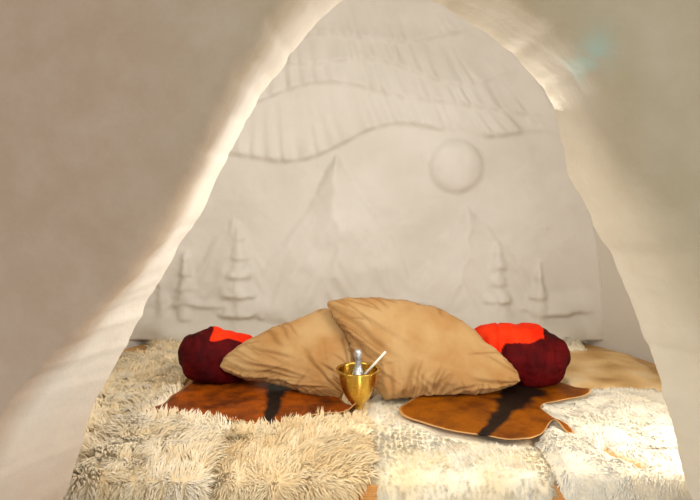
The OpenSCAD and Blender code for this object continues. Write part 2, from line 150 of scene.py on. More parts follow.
def ease(t):
    t = np.clip(t, 0, 1)
    return t * t * (3 - 2 * t)


def spots(bm):
    return np.array([v.co for v in bm.verts])


def place(bm, points):
    for v, p in zip(bm.verts, points.tolist()):
        v.co = p


def grid(columns, rows):
    # a flat grid whose x and y run from 0 to 1
    bm = bmesh.new()
    bmesh.ops.create_grid(bm, x_segments=columns, y_segments=rows, size=0.5,
        matrix=Matrix.Translation((0.5, 0.5, 0)))
    return bm


def merge(bm, dist=1e-5):
    bmesh.ops.remove_doubles(bm, verts=bm.verts, dist=dist)


def skirt(bm):
    # a strip of faces drawn out of the open edge; gives the points that can then be moved
    rim = [e for e in bm.edges if e.is_boundary]
    drawn = bmesh.ops.extrude_edge_only(bm, edges=rim)["geom"]
    return [v for v in drawn if isinstance(v, bmesh.types.BMVert)]


def seal(bm, most_sides=None):
    # closes what is open, splits faces of more sides than most_sides, and turns all faces outwards
    bmesh.ops.holes_fill(bm, edges=[e for e in bm.edges if e.is_boundary], sides=0)
    if most_sides:
        bmesh.ops.triangulate(bm, faces=[f for f in bm.faces if len(f.verts) > most_sides])
    bmesh.ops.recalc_face_normals(bm, faces=bm.faces)


def cut(bm, at, facing, clear=False):
    # cuts the mesh in a plane, and with clear set takes away what lies on its facing side
    bmesh.ops.bisect_plane(bm, geom=bm.verts[:] + bm.edges[:] + bm.faces[:], dist=1e-6, plane_co=at,
        plane_no=facing, clear_outer=clear)


def piece(name, bm, finish, slot, *nodes):
    mesh = bpy.data.meshes.new(name)
    bm.to_mesh(mesh)
    bm.free()
    return piece_of(name, mesh, finish, slot, *nodes)


def piece_of(name, mesh, finish, slot, *nodes):
    mesh.polygons.foreach_set("use_smooth", np.ones(len(mesh.polygons), dtype=bool))
    obj = put(name, mesh)
    mesh.materials.append(finish)
    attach(obj, "root")
    if nodes:
        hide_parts(*nodes)
    return obj


def paint(obj, name, values):
    # one number for each point of the mesh, which a material reads by name
    layer = obj.data.attributes.new(name, "FLOAT", "POINT")
    layer.data.foreach_set("value", np.asarray(values, dtype=np.float32))


def coat(node, finish):
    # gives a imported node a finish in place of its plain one
    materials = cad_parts[node].data.materials
    materials.clear()
    materials.append(finish)


def coords(mesh, what="co"):
    # each point's place, or with what set to normal, its normal
    flat = np.empty(len(mesh.vertices) * 3)
    mesh.vertices.foreach_get(what, flat)
    return flat.reshape(-1, 3)


def unit(v):
    return v / np.maximum(np.linalg.norm(v, axis=-1, keepdims=True), 1e-6)


def on_line(line, shares=None, count=None):
    # places along a line of points: at shares of its length, or a count of them evenly spaced
    run = np.concatenate([[0], np.cumsum(np.hypot(*np.diff(line, axis=0).T))])
    at = np.linspace(0, run[-1], count) if count else shares * run[-1]
    return np.stack([np.interp(at, run, line[:, 0]), np.interp(at, run, line[:, 1])], axis=1)


def from_side(x, y, start, end):
    # for each point, the share of the way along a straight side, and its offset from the side
    (ax, ay), (bx, by) = start, end
    t = (x - ax) * (bx - ax) + (y - ay) * (by - ay)
    t = np.clip(t / max((bx - ax) ** 2 + (by - ay) ** 2, 1e-12), 0, 1)
    return t, x - ax - t * (bx - ax), y - ay - t * (by - ay)


def dome_r(z, r=CHAMBER_R, h=CHAMBER_H):
    return r * np.maximum(0, 1 - np.clip(z / h, 0, 1) ** DOME_POWER) ** (1 / DOME_POWER)


def dome_z(d, r=CHAMBER_R, h=CHAMBER_H):
    return h * np.maximum(0, 1 - np.clip(d / r, 0, 1) ** DOME_POWER) ** (1 / DOME_POWER)


def dome_share(d, z, r=OUTER_R, h=OUTER_H):
    # 1 on the dome's surface, less inside it
    return (d / r) ** DOME_POWER + (z / h) ** DOME_POWER


# Packed snow, smoothed by hand and glazed by the warmth of lamps: soft lumps a hand wide, a fine grain
# of ice, and a darker, warmer tint mixed in by an attribute: painted shade on the front wall, and on the
# dome and the carving a darker inside and foot
def snow(name, pale, deep, shade_and_stain, right_shade_and_stain, grain_depth):
    made, tree, shader = blank(name, Roughness=0.62, Specular_IOR_Level=0.3)
    where = add(tree, "TexCoord").outputs["Object"]
    broad = add(tree, "TexNoise", {"Vector": where, "Scale": 1.7, "Detail": 3.0, "Roughness": 0.55})
    smear = add(tree, "TexNoise", {"Vector": where, "Scale": 9.0, "Detail": 4.0, "Roughness": 0.6})
    grain = add(tree, "TexNoise", {"Vector": where, "Scale": 70.0, "Detail": 3.0, "Roughness": 0.6})
    crystals = add(tree, "TexNoise", {"Vector": where, "Scale": 320.0, "Detail": 1.0})
    tone = add(tree, "MapRange", {0: broad, 1: 0.35, 2: 0.65})
    body = add(tree, "Mix", {0: tone, 6: pale, 7: deep}, data_type="RGBA")
    # the darker tint read here is painted shade on the front wall, its right side in a tint of its own
    shade_and_stain_share = add(tree, "Attribute", attribute_name="shade_and_stain").outputs["Fac"]
    sided = add(tree, "Attribute", attribute_name="right_side").outputs["Fac"]
    kind = add(tree, "Mix", {0: sided, 6: shade_and_stain, 7: right_shade_and_stain}, data_type="RGBA")
    icy = add(tree, "Attribute", attribute_name="ice").outputs["Fac"]
    clear = add(tree, "Mix", {0: icy, 6: kind, 7: "86C2B4"}, data_type="RGBA")
    warm = add(tree, "Mix", {0: shade_and_stain_share, 6: body, 7: clear}, data_type="RGBA")
    streak = add(tree, "MapRange", {0: smear, 1: 0.40, 2: 0.72, 3: 0.0, 4: 0.12})
    soft = add(tree, "Mix", {0: streak, 6: warm, 7: deep}, data_type="RGBA")
    low = add(tree, "Bump", {"Height": smear, "Strength": 0.5, "Distance": 0.012})
    mid = add(tree, "Bump", {"Height": grain, "Strength": 0.6, "Distance": grain_depth,
        "Normal": low})
    fine = add(tree, "Bump", {"Height": crystals, "Strength": 0.5, "Distance": 0.0006,
        "Normal": mid})
    feed(shader, {"Base Color": soft, "Normal": fine})
    return made


front_snow = snow("packed_snow_front", "F3EBDF", "E7DDCD", "AD9074", "AC9A70", 0.0022)
shell_snow = snow("packed_snow_shell", "E9E6E1", "DAD5CC", "CFC8BC", "CFC8BC", 0.0025)
carved_snow = snow("carved_snow", "D8D3CB", "CCC6BC", "BDB4A4", "BDB4A4", 0.0012)

# Front wall: one arch of snow, lofted in stations along the doorway from foot to foot. Each
# station's section goes round the inner face, the reveal, the outer face and the outside.
LEFT_EDGE = [(-1.19, 0.0), (-1.16, 0.2), (-1.085, 0.40), (-1.014, 0.542), (-0.976, 0.644), (-0.939, 0.744),
    (-0.918, 0.820), (-0.885, 0.876), (-0.834, 0.958), (-0.80, 1.022), (-0.765, 1.102), (-0.715, 1.197),
    (-0.666, 1.275), (-0.617, 1.367), (-0.553, 1.459), (-0.506, 1.534), (-0.443, 1.653), (-0.396, 1.755),
    (-0.335, 1.842), (-0.245, 1.978), (-0.15, 2.07)]
RIGHT_EDGE = [(0.06, 2.105), (0.161, 2.068), (0.278, 2.005), (0.367, 1.942), (0.428, 1.885), (0.485, 1.800),
    (0.508, 1.726), (0.535, 1.638), (0.575, 1.549), (0.625, 1.459), (0.675, 1.361), (0.726, 1.259),
    (0.768, 1.181), (0.804, 1.086), (0.851, 0.974), (0.881, 0.893), (0.916, 0.794), (0.949, 0.678),
    (0.984, 0.542), (1.04, 0.36), (1.10, 0.18), (1.13, 0.0)]
STATIONS = 420
# Length of the doorway's edge from foot to foot
EDGE_LONG = 5.25


def along(points, count):
    # evenly spaced places along a smoothed line through the points
    line = np.array(points, dtype=float)
    for _ in range(3):
        finer = np.empty((2 * len(line), 2))
        finer[0], finer[-1] = line[0], line[-1]
        finer[1:-1:2] = line[:-1] * 0.75 + line[1:] * 0.25
        finer[2:-1:2] = line[:-1] * 0.25 + line[1:] * 0.75
        line = finer
    return on_line(line, count=count)


def build_front_wall():
    door = along(LEFT_EDGE + [(-0.05, 2.115)] + RIGHT_EDGE, STATIONS)
    side = np.where(door[:, 0] < 0, -1.0, 1.0)
    z = door[:, 1]
    # chips and scallops of the cut edge
    way = np.arange(STATIONS) * EDGE_LONG / STATIONS
    ragged = rough(flat_points(way, 0 * way), 5, (0.007, 0.13), (0.004, 0.05), (0.002, 0.022))
    tangent = np.gradient(door, axis=0)
    tangent /= np.hypot(*tangent.T)[:, None]
    out = np.stack([-tangent[:, 1], tangent[:, 0]], axis=1)
    door = door + out * ragged[:, None] * ease(z / 0.2)[:, None]
    door[:, 1] = np.maximum(door[:, 1], 0)
    door[0, 1] = door[-1, 1] = 0
    # the reveal opens towards the front: 145 mm low on the left, 135 mm low on the right, and only
    # 20 mm at the crown
    splay = 0.5 + 0.5 * np.cos(math.pi * np.clip((z - 0.85) / 0.57, 0, 1))
    wide = np.where(side < 0, 0.145 * splay, 0.085 + 0.05 * splay)
    below_crown = ease((2.2 - z) / 0.8)
    wide = wide * below_crown + 0.02 * (1 - below_crown)
    front = door + out * wide[:, None]
    front[:, 1] = np.maximum(front[:, 1], 0)
    front[0, 1] = front[-1, 1] = 0
    top = dome_z(FRONT_Y, OUTER_R, OUTER_H)
    turn = np.linspace(-math.pi / 2, math.pi / 2, 400)
    arc_z = top * np.cos(turn)
    arc_x = np.sign(turn) * np.sqrt(np.maximum(0, dome_r(arc_z, OUTER_R, OUTER_H) ** 2 - FRONT_Y ** 2))
    facade = along(np.stack([arc_x, arc_z], axis=1), STATIONS)
    facade[0, 1] = facade[-1, 1] = 0

    def spot(xz, y):
        return np.stack([xz[:, 0], np.full(len(xz), y), xz[:, 1]], axis=1)

    face_y = -FRONT_Y - FRONT_T + 0.010
    corners = [spot(facade, -FRONT_Y + 0.006), spot(door, -FRONT_Y), spot(front, face_y),
        spot(facade, face_y)]
    # how round the section's corners are, and how finely its sides and corners are divided
    sharp = np.where(side < 0, 0.012 + 0.05 * ease((z - 1.0) / 0.5), 0.15)
    blend = ease((z - 1.75) / 0.3)
    sharp = sharp * (1 - blend) + 0.09 * blend
    radii = [None, np.full(STATIONS, 0.009), sharp, np.full(STATIONS, 0.07)]
    side_steps = [8, 30, 58, 8]
    bend_steps = [None, 6, 14, 5]
    rows = []

    def stretch(a, b, count, power=1.0):
        for k in range(count):
            rows.append(a + (b - a) * (k / count) ** power)

    start = corners[0]
    for i in (1, 2, 3):
        before = corners[i] + unit(corners[i - 1] - corners[i]) * radii[i][:, None]
        after = corners[i] + unit(corners[(i + 1) % 4] - corners[i]) * radii[i][:, None]
        stretch(start, before, side_steps[i - 1], 1.5 if i == 3 else 1.0)
        for k in range(bend_steps[i]):
            t = k / bend_steps[i]
            rows.append((1 - t) ** 2 * before + 2 * t * (1 - t) * corners[i] + t * t * after)
        start = after
    stretch(start, corners[0], side_steps[3])
    rows.append(corners[0])
    net = np.stack(rows, axis=1)
    # hand-smoothed lumps, cut along the surface's own normals
    around = np.gradient(net, axis=0)
    across = np.gradient(net, axis=1)
    outwards = unit(np.cross(around, across))
    lump = rough(net.reshape(-1, 3), 11, (0.010, 0.42), (0.006, 0.16), (0.0032, 0.07), (0.0015, 0.03))
    lump = lump.reshape(net.shape[:2])
    section = np.linspace(0, 1, net.shape[1])[None, :]
    calm = ease(section / 0.06) * ease((1 - section) / 0.10)
    calm = calm * (0.35 + 0.65 * ease(np.abs(net[..., 1] + FRONT_Y) / 0.10))
    net = net + outwards * (lump * calm)[..., None]
    net[..., 1] = np.maximum(net[..., 1], -FRONT_Y - FRONT_T)
    net[0, :, 2] = net[-1, :, 2] = 0
    net[..., 2] = np.maximum(net[..., 2], 0)
    columns, sections = STATIONS - 1, net.shape[1] - 1
    bm = grid(columns, sections)
    uv = spots(bm)
    i = np.rint(uv[:, 0] * columns).astype(int)
    j = np.rint(uv[:, 1] * sections).astype(int)
    place(bm, net[i, j])
    merge(bm)
    seal(bm)
    wall = piece("front_wall", bm, front_snow, "front_snow", "front_pier_left", "front_pier_right",
        "front_haunch_left", "front_haunch_right", "front_crown")
    q = coords(wall.data)
    x, y, z = q.T
    # painted shade: the left of the wall and its outer edge are painted darker, and the reveal is left pale
    # as if lit from inside
    deep = ease((-y - FRONT_Y - 0.16) / 0.24)
    left = ease((0.25 - x) / 1.1)
    low = ease((1.5 - z) / 1.2)
    right_shade = (0.50 + 0.32 * deep) * (1 - 0.18 * low)
    left_shade = np.maximum(deep * (0.92 - 0.16 * low), 0.80 * ease((1.3 - z) / 0.9))
    # a spot of clear ice on the right of the face, high up
    ice_x, ice_z, ice_wide, ice_high = 0.49, 1.87, 0.035, 0.055
    ice = np.exp(-((x - ice_x) / ice_wide) ** 2 - ((z - ice_z) / ice_high) ** 2) * (y < -FRONT_Y - 0.2)
    ice = 0.45 * ice * ease(0.8 + lumps(q, 0.03, 15))
    # the painted shade ends before the wall's outer edge, where the snow is as white as the dome
    wall_half, wall_top = 1.69, 3.0
    indoors = 1 - ease((dome_share(np.abs(x), z, wall_half, wall_top) - 0.78) / 0.2)
    paint(wall, "shade_and_stain", np.maximum((right_shade * (1 - left) + left_shade * left) * indoors, ice))
    paint(wall, "right_side", 1 - left)
    paint(wall, "ice", np.clip(ice * 1.6, 0, 1))


build_front_wall()


def spin_ring(bm, outline, steps, closed=True):
    # turns an outline of [radius, height] round z
    ring = [bm.verts.new((r, 0, z)) for r, z in outline]
    ends = ring[1:] + ring[:1] if closed else ring[1:]
    edges = [bm.edges.new(pair) for pair in zip(ring, ends)]
    bmesh.ops.spin(bm, geom=ring + edges, cent=(0, 0, 0), axis=(0, 0, 1), angle=2 * math.pi, steps=steps,
        use_merge=True)


# Dome: one shell spun round the axis, with the vent left open, cut off at the front wall
def build_dome():
    def arc(r, h, count):
        t = np.linspace(0, math.pi / 2, 600)
        x, z = r * np.cos(t) ** (2 / DOME_POWER), h * np.sin(t) ** (2 / DOME_POWER)
        keep = x >= VENT_R
        x, z = np.append(x[keep], VENT_R), np.append(z[keep], dome_z(VENT_R, r, h))
        return on_line(np.stack([x, z], axis=1), count=count)

    outer = arc(OUTER_R - 0.006, OUTER_H - 0.006, 104)
    inner = arc(CHAMBER_R, CHAMBER_H, 66)[::-1]
    bm = bmesh.new()
    spin_ring(bm, np.concatenate([outer, inner]).tolist(), steps=180)
    merge(bm)
    p = spots(bm)
    radial = p / np.linalg.norm(p * [1, 1, 0.7], axis=1)[:, None]
    outside = dome_share(np.hypot(p[:, 0], p[:, 1]), p[:, 2]) > 0.94
    waves = rough(p, 21, (0.008, 0.55), (0.005, 0.2), (0.0025, 0.08))
    push = np.where(outside, waves - 0.014, 0.45 * waves)
    push *= ease(p[:, 2] / 0.06)
    place(bm, p + radial * push[:, None])
    cut(bm, (0, -FRONT_Y, 0), (0, -1, 0), clear=True)
    seal(bm)
    rings = [name + str(i) for name in ("wall_ring_", "upper_shell_") for i in range(1, 6)]
    dome = piece("snow_dome", bm, shell_snow, "shell_snow", *rings, "crown_cap")
    x, y, z = coords(dome.data).T
    inside = dome_share(np.hypot(x, y), z) < 0.90
    # the tint darkens the whole inside, and the outside towards the ground
    paint(dome, "shade_and_stain", np.where(inside, 0.92, 0.55 * ease((0.5 - z) / 0.5)))


build_dome()


# Carved back: one slab of snow whose face carries the landscape. Its edge runs into the dome in a
# soft hollow. The landscape is generic: drifts, peaks, spruces, a moon and northern lights.
RELIEF_FOOT = 0.47
HOLLOW = 0.12
DEEPEST = 0.19
RELIEF_COLUMNS, RELIEF_ROWS = 250, 200


def build_relief():
    top_z = float(dome_z(BACK_Y - HOLLOW))
    bm = grid(RELIEF_COLUMNS, RELIEF_ROWS)
    uv = spots(bm)
    z = RELIEF_FOOT + (top_z - RELIEF_FOOT - 0.004) * (1 - (1 - uv[:, 1]) ** 1.15)
    half = np.sqrt(np.maximum(0, dome_r(z) ** 2 - (BACK_Y - HOLLOW) ** 2)) + 0.004
    x = (2 * uv[:, 0] - 1) * half
    shell_y = np.sqrt(np.maximum(0, dome_r(z) ** 2 - x ** 2))
    mix = np.clip(0.5 + 0.5 * (shell_y - BACK_Y) / HOLLOW, 0, 1)
    base_y = shell_y * (1 - mix) + BACK_Y * mix - HOLLOW * mix * (1 - mix)
    flat = flat_points(x, z)
    foot = RELIEF_FOOT + 0.04

    def rise(share):
        # a height on the carving, as a share of its 2 m
        return foot + 2.0 * share

    # northern lights: curtains with a crisp lower hem, a fade upwards and long soft rays
    sway = 0.05 * lumps(flat, 0.6, 31)
    carved = np.zeros(len(x))
    for k, (f, amp, phase, size) in enumerate([(0.60, 0.10, 0.3, 0.30), (0.72, 0.085, 1.9, 0.27),
            (0.83, 0.07, 3.6, 0.23), (0.92, 0.05, 5.0, 0.18)]):
        hem = rise(f) + amp * np.sin(x * 2.6 + phase) + 0.035 * np.sin(x * 6.1 + 2 * phase) + sway
        up = z - hem
        lean = x + up * (0.35 + 0.5 * x)
        rays = 0.62 + 0.26 * np.sin(lean * 62 + 3 * lumps(flat_points(lean, 0 * z), 0.12, 40 + k)) \
            + 0.22 * lumps(flat_points(lean, z * 0.15), 0.035, 50 + k)
        veil = ease((up + 0.006) / 0.022) * np.exp(-np.maximum(up, 0) / (size * 0.55))
        carved = np.maximum(carved, 0.046 * veil * rays + 0.012 * veil)
    # the moon, with soft dimples
    moon_x, moon_z, moon_r = 0.56, 1.565, 0.165
    d = np.hypot(x - moon_x, z - moon_z)
    dimples = 0.006 * ease(lumps(flat, 0.055, 61)) * (d < 0.15)
    moon = 0.062 * np.sqrt(np.maximum(0, 1 - (d / moon_r) ** 2)) - dimples
    halo = 0.010 * np.exp(-np.maximum(d - moon_r, 0) / 0.05)
    carved = np.where(d < moon_r, moon + 0.008, np.maximum(carved * ease((d - 0.19) / 0.10), halo))

    # peaks: two faces that meet in a winding ridge, with gullies cut down the slope
    def peak(top_x, top_at, left_x, right_x, depth, seed):
        down = (rise(top_at) - z) / (rise(top_at) - foot)
        t = np.clip(down, 0, 1.2)
        wander = rough(flat, seed, (0.030, 0.16), (0.014, 0.06))
        lo = top_x + (left_x - top_x) * t ** 1.08 + wander
        hi = top_x + (right_x - top_x) * t ** 0.94 + wander
        ridge = top_x + 0.35 * (left_x + right_x - 2 * top_x) * t + 0.07 * np.sin(9 * t + seed) * t \
            + 0.02 * lumps(flat, 0.07, seed + 2)
        s = np.where(x < ridge, (x - lo) / np.maximum(ridge - lo, 1e-3),
            (hi - x) / np.maximum(hi - ridge, 1e-3))
        inside = (down > 0) & (s > 0)
        s = np.clip(s, 0, 1)
        side = np.where(x < ridge, -1.0, 1.0)
        fall = flat_points(x + side * 0.55 * z, (z - side * 0.2 * x) * 0.25)
        gully = np.abs(lumps(fall, 0.085, seed + 3)) * 0.030 + np.abs(lumps(fall, 0.035, seed + 4)) * 0.011
        body = depth * (0.22 + 0.78 * t) * s ** 0.85
        return np.where(inside, 0.016 + body - gully * (0.3 + t) * ease(s * 5), 0)

    for args in ((-0.84, 0.36, -1.44, -0.38, 0.075, 71), (0.64, 0.40, 0.02, 1.30, 0.095, 75),
            (-0.19, 0.56, -0.92, 0.50, 0.150, 79)):
        carved = np.maximum(carved, peak(*args))

    # drifts along the foot
    bank = rise(0.085) + 0.035 * np.sin(3.1 * x + 0.6) + 0.02 * np.sin(7.3 * x + 2)
    bank = bank + 0.006 * lumps(flat, 0.1, 83)
    drift = 0.15 * ease((bank - z) / 0.16) ** 0.8 + 0.010 * ease((bank - z) / 0.012)
    bank_b = rise(0.135) + 0.03 * np.sin(2.2 * x + 2.5) + 0.02 * np.sin(5.9 * x)
    drift_b = 0.075 * ease((bank_b - z) / 0.16) + 0.008 * ease((bank_b - z) / 0.012)
    carved = np.maximum(carved, np.maximum(drift, np.where(z > bank, drift_b, 0)))

    # spruces: tiers of drooping boughs, each half round
    for tree_x, high, seed in ((-1.14, 0.56, 91), (-0.80, 0.72, 92), (0.83, 0.62, 93), (1.10, 0.46, 94),
            (-1.30, 0.40, 95), (0.40, 0.30, 96), (-0.52, 0.34, 97)):
        up = (z - foot) / high
        tiers = 6.0 if high > 0.5 else 4.0
        saw = 1 - np.mod(up * tiers + 0.12 * np.abs(x - tree_x) / (0.2 * high), 1.0)
        ragged = 1 + 0.22 * lumps(flat, 0.022, seed) + 0.12 * lumps(flat, 0.05, seed + 9)
        wide = high * 0.235 * np.clip(1 - up, 0, 1) * (0.52 + 0.48 * saw) * ragged
        s = np.clip(np.abs(x - tree_x) / np.maximum(wide, 1e-4), 0, 1)
        bough = wide * 0.75 * np.sqrt(1 - s ** 2) + 0.012
        grown = np.where((up < 1) & (np.abs(x - tree_x) < wide), bough + 0.02, 0)
        carved = np.maximum(carved, grown)

    hand = rough(flat, 101, (0.0045, 0.14), (0.0024, 0.05), (0.0012, 0.024))
    broad = 0.012 * lumps(flat, 0.5, 104)
    fade = ease((shell_y - (BACK_Y - HOLLOW)) / 0.10) * ease((top_z - z) / 0.05)
    ends = ease((half - np.abs(x)) / 0.32)
    relief = (carved * ends + 0.02) * fade + (hand + broad) * fade
    # soften the cuts as hands and warm air do: average along the grid
    order = np.lexsort((np.rint(uv[:, 0] * RELIEF_COLUMNS), np.rint(uv[:, 1] * RELIEF_ROWS)))
    field = relief[order].reshape(RELIEF_ROWS + 1, RELIEF_COLUMNS + 1)
    for _ in range(2):
        padded = np.pad(field, 1, mode="edge")
        field = (padded[1:-1, 1:-1] * 2 + padded[:-2, 1:-1] + padded[2:, 1:-1] + padded[1:-1, :-2]
            + padded[1:-1, 2:]) / 6
    relief[order] = field.reshape(-1)
    # the slab's ends dive into the dome, so that no seam shows
    dive = 0.03 * (1 - ease((half - np.abs(x)) / 0.03))
    y = np.maximum(base_y - relief, BACK_Y - DEEPEST) + dive
    place(bm, np.stack([x, y, z], axis=1))
    for v in skirt(bm):
        v.co.y = BACK_Y + 0.012
    seal(bm)
    slab = piece("carved_landscape", bm, carved_snow, "carved_snow", "relief_landscape", "relief_sky",
        "relief_moon")
    q = coords(slab.data)
    # the tint darkens the carving towards its foot, and in broad random patches
    paint(slab, "shade_and_stain", 0.5 * ease((0.75 - q[:, 2]) / 0.3) + 0.12 * ease(lumps(q, 0.45, 105)))


build_relief()
coat("back_wall", carved_snow)
coat("snow_bench", shell_snow)


# Bare planed pine: growth rings seen as long bands 6 to 10 mm apart that wander along the board
def wood(name, pale, dark, ring_mm):
    made, tree, shader = blank(name, Roughness=0.48, Specular_IOR_Level=0.4)
    where = add(tree, "TexCoord").outputs["Object"]
    across = 18.0
    laid = add(tree, "Mapping", {"Vector": where, "Scale": (1.2, across, across)})
    wander = add(tree, "TexNoise", {"Vector": laid, "Scale": 1.0, "Detail": 4.0, "Distortion": 0.4})
    fibre_at = add(tree, "Mapping", {"Vector": where, "Scale": (12.0, 900.0, 900.0)})
    fibre = add(tree, "TexNoise", {"Vector": fibre_at, "Scale": 1.0, "Detail": 2.0})
    rings = add(tree, "TexWave", {"Vector": laid, "Scale": across / ring_mm, "Distortion": 6.0,
        "Detail": 3.0, "Detail Scale": 1.0}, bands_direction="Z")
    band = add(tree, "Math", {0: rings.outputs["Fac"], 1: wander}, operation="MULTIPLY")
    shade = add(tree, "Mix", {0: band, 6: pale, 7: dark}, data_type="RGBA")
    thin = add(tree, "MapRange", {0: fibre, 1: 0.45, 2: 0.75, 3: 0.0, 4: 0.35})
    tint = add(tree, "Mix", {0: thin, 6: shade, 7: dark}, data_type="RGBA")
    bump = add(tree, "Bump", {"Height": fibre, "Strength": 0.3, "Distance": 0.0005})
    feed(shader, {"Base Color": tint, "Normal": bump})
    return made


pine = wood("planed_pine", "E0A055", "B9722C", 9.0)
plywood = wood("bare_plywood", "CDA46C", "A87B45", 14.0)
coat("bed_deck", plywood)


# Front boards: planed planks with eased edges and six screws each
def build_board(name):
    lo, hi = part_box(name)
    bm = bmesh.new()
    size = hi - lo
    bmesh.ops.create_cube(bm, size=1, matrix=Matrix.Translation((lo + hi) / 2) @ Matrix.Diagonal((*size, 1)))
    bmesh.ops.bevel(bm, geom=bm.edges[:], offset=0.003, affect="EDGES", segments=3, profile=0.5, material=-1)
    head_r = 0.0045
    for share in (0.06, 0.5, 0.94):
        for high in (0.045, 0.155):
            at = (lo.x + size.x * share, lo.y + 0.0012, lo.z + high)
            bmesh.ops.create_cone(bm, cap_ends=True, segments=16, radius1=head_r, radius2=head_r, depth=0.004,
                matrix=Matrix.Translation(at) @ Matrix.Rotation(math.pi / 2, 4, "X"))
    board = piece(name + "_plank", bm, pine, "pine", name)
    board.data.polygons.foreach_set("use_smooth", np.zeros(len(board.data.polygons), dtype=bool))


for name in ("front_board_left", "front_board_right"):
    build_board(name)


# Outlines of the two goat hides on the bed, as the CAD source has them
LEFT_HIDE = [(-0.50, -0.34), (-0.36, -0.35), (-0.16, -0.41), (-0.03, -0.48), (0.12, -0.52), (0.26, -0.45),
    (0.38, -0.37), (0.50, -0.36), (0.51, -0.28), (0.43, -0.19), (0.40, 0.15), (0.36, 0.42), (0.13, 0.48),
    (-0.05, 0.46), (-0.31, 0.38), (-0.38, 0.12), (-0.42, -0.22)]
RIGHT_HIDE = [(-0.52, -0.19), (-0.32, -0.38), (-0.16, -0.44), (-0.01, -0.51), (0.04, -0.50), (0.15, -0.33),
    (0.175, -0.37), (0.205, -0.43), (0.225, -0.42), (0.215, -0.34), (0.18, -0.24), (0.16, -0.08),
    (0.32, -0.02), (0.48, 0.07), (0.39, 0.19), (0.33, 0.35), (0.10, 0.46), (-0.15, 0.44), (-0.30, 0.25),
    (-0.38, 0.03)]


def rounded(line, passes=2):
    # a closed line with its corners cut, at a fifth and at four fifths of each side
    for _ in range(passes):
        after = np.roll(line, -1, axis=0)
        line = np.stack([line * 0.8 + after * 0.2, line * 0.2 + after * 0.8], axis=1).reshape(-1, 2)
    return line


left_hide_line = rounded(np.array(LEFT_HIDE) * (0.96, 0.80) + (-0.5507, 0.029))
right_hide_line = rounded(np.array(RIGHT_HIDE) * (0.99, 0.94) + (0.5997, -0.0793))


def depth_in(line, x, y):
    # how far each point lies inside a closed line, and below 0 outside it
    best = np.full(len(x), np.inf)
    crossings = np.zeros(len(x), dtype=int)
    for (ax, ay), (bx, by) in zip(line, np.roll(line, -1, axis=0)):
        best = np.minimum(best, np.hypot(*from_side(x, y, (ax, ay), (bx, by))[1:]))
        crossings += ((ay > y) != (by > y)) & (x < (bx - ax) * (y - ay) / (by - ay + 1e-12) + ax)
    return np.where(crossings % 2 == 1, best, -best)


# Undyed wool and calf hair: dull fine locks, each lock its own tone, darker towards the roots as
# painted shade in the depth of the wool, and tan skin where the wool parts
def wool(name, root, body, tip):
    made, tree, shader = blank(name, Roughness=0.95, Specular_IOR_Level=0.06)
    where = add(tree, "TexCoord").outputs["Object"]
    patch = add(tree, "TexNoise", {"Vector": where, "Scale": 11.0, "Detail": 2.0})
    strand = add(tree, "TexNoise", {"Vector": where, "Scale": 260.0, "Detail": 2.0})
    tone = add(tree, "Attribute", attribute_name="tone").outputs["Fac"]
    low = add(tree, "MapRange", {0: tone, 1: 0.0, 2: 0.5})
    high = add(tree, "MapRange", {0: tone, 1: 0.5, 2: 1.0})
    first = add(tree, "Mix", {0: low, 6: root, 7: body}, data_type="RGBA")
    second = add(tree, "Mix", {0: high, 6: first, 7: tip}, data_type="RGBA")
    warm = add(tree, "MapRange", {0: patch, 1: 0.45, 2: 0.75, 3: 0.0, 4: 0.25})
    last = add(tree, "Mix", {0: warm, 6: second, 7: root}, data_type="RGBA")
    bare = add(tree, "Attribute", attribute_name="bare").outputs["Fac"]
    skinned = add(tree, "Mix", {0: bare, 6: last, 7: "B4803F"}, data_type="RGBA")
    bump = add(tree, "Bump", {"Height": strand, "Strength": 0.25, "Distance": 0.002})
    feed(shader, {"Base Color": skinned, "Normal": bump})
    return made


long_wool = wool("long_cream_wool", "E9C68E", "F7E1B8", "FEF3DC")
short_wool = wool("short_curled_wool", "EDD6A8", "FBEFD4", "FEF8E8")
white_wool = wool("long_white_wool", "F4DFB6", "FBEFD4", "FEF8E8")
calf_hair = wool("short_tan_calf_hair", "B8905C", "DEBC88", "F8E6C4")


def points_and_faces(bm):
    bm.verts.index_update()
    points = spots(bm)
    faces = [[v.index for v in f.verts] for f in bm.faces]
    bm.free()
    return points, faces


# One lock of wool: a slim cone of three sides, with a ring at half its length where it bends
def lock_template(bends):
    bm = bmesh.new()
    bmesh.ops.create_cone(bm, cap_ends=True, segments=3, radius1=1.0, radius2=0.0, depth=1.0,
        matrix=Matrix.Translation((0, 0, 0.5)))
    if bends:
        cut(bm, (0, 0, 0.55), (0, 0, 1))
    merge(bm)
    return points_and_faces(bm)


def grow(shape, root, knee, tip, radius):
    # locks bent over from their roots by way of a knee to their tips, as points
    t = shape[:, 2]
    centre = root[:, None] * ((1 - t) ** 2)[:, None] + knee[:, None] * (2 * t * (1 - t))[:, None] \
        + tip[:, None] * (t ** 2)[:, None]
    heading = unit(tip - root)
    helper = np.where(np.abs(heading[:, 2:3]) > 0.9, [[1.0, 0, 0]], [[0, 0, 1.0]])
    e1 = unit(np.cross(heading, helper))
    e2 = np.cross(heading, e1)
    # the lock is twice as thick at its bend, so that it keeps its body there
    full = np.where((t > 0.2) & (t < 0.8), 2.0, 1.0)
    px, py = shape[:, 0] * full, shape[:, 1] * full
    around = px[None, :, None] * e1[:, None] + py[None, :, None] * e2[:, None]
    return (centre + radius[:, None, None] * around).reshape(-1, 3)


# What keeps the wool down: each place across the bed and back, with half its width and depth
PRESSED = [(-0.80, 0.24, 0.18, 0.10), (0.736, 0.24, 0.25, 0.105), (-0.064, -0.199, 0.017, 0.017)]
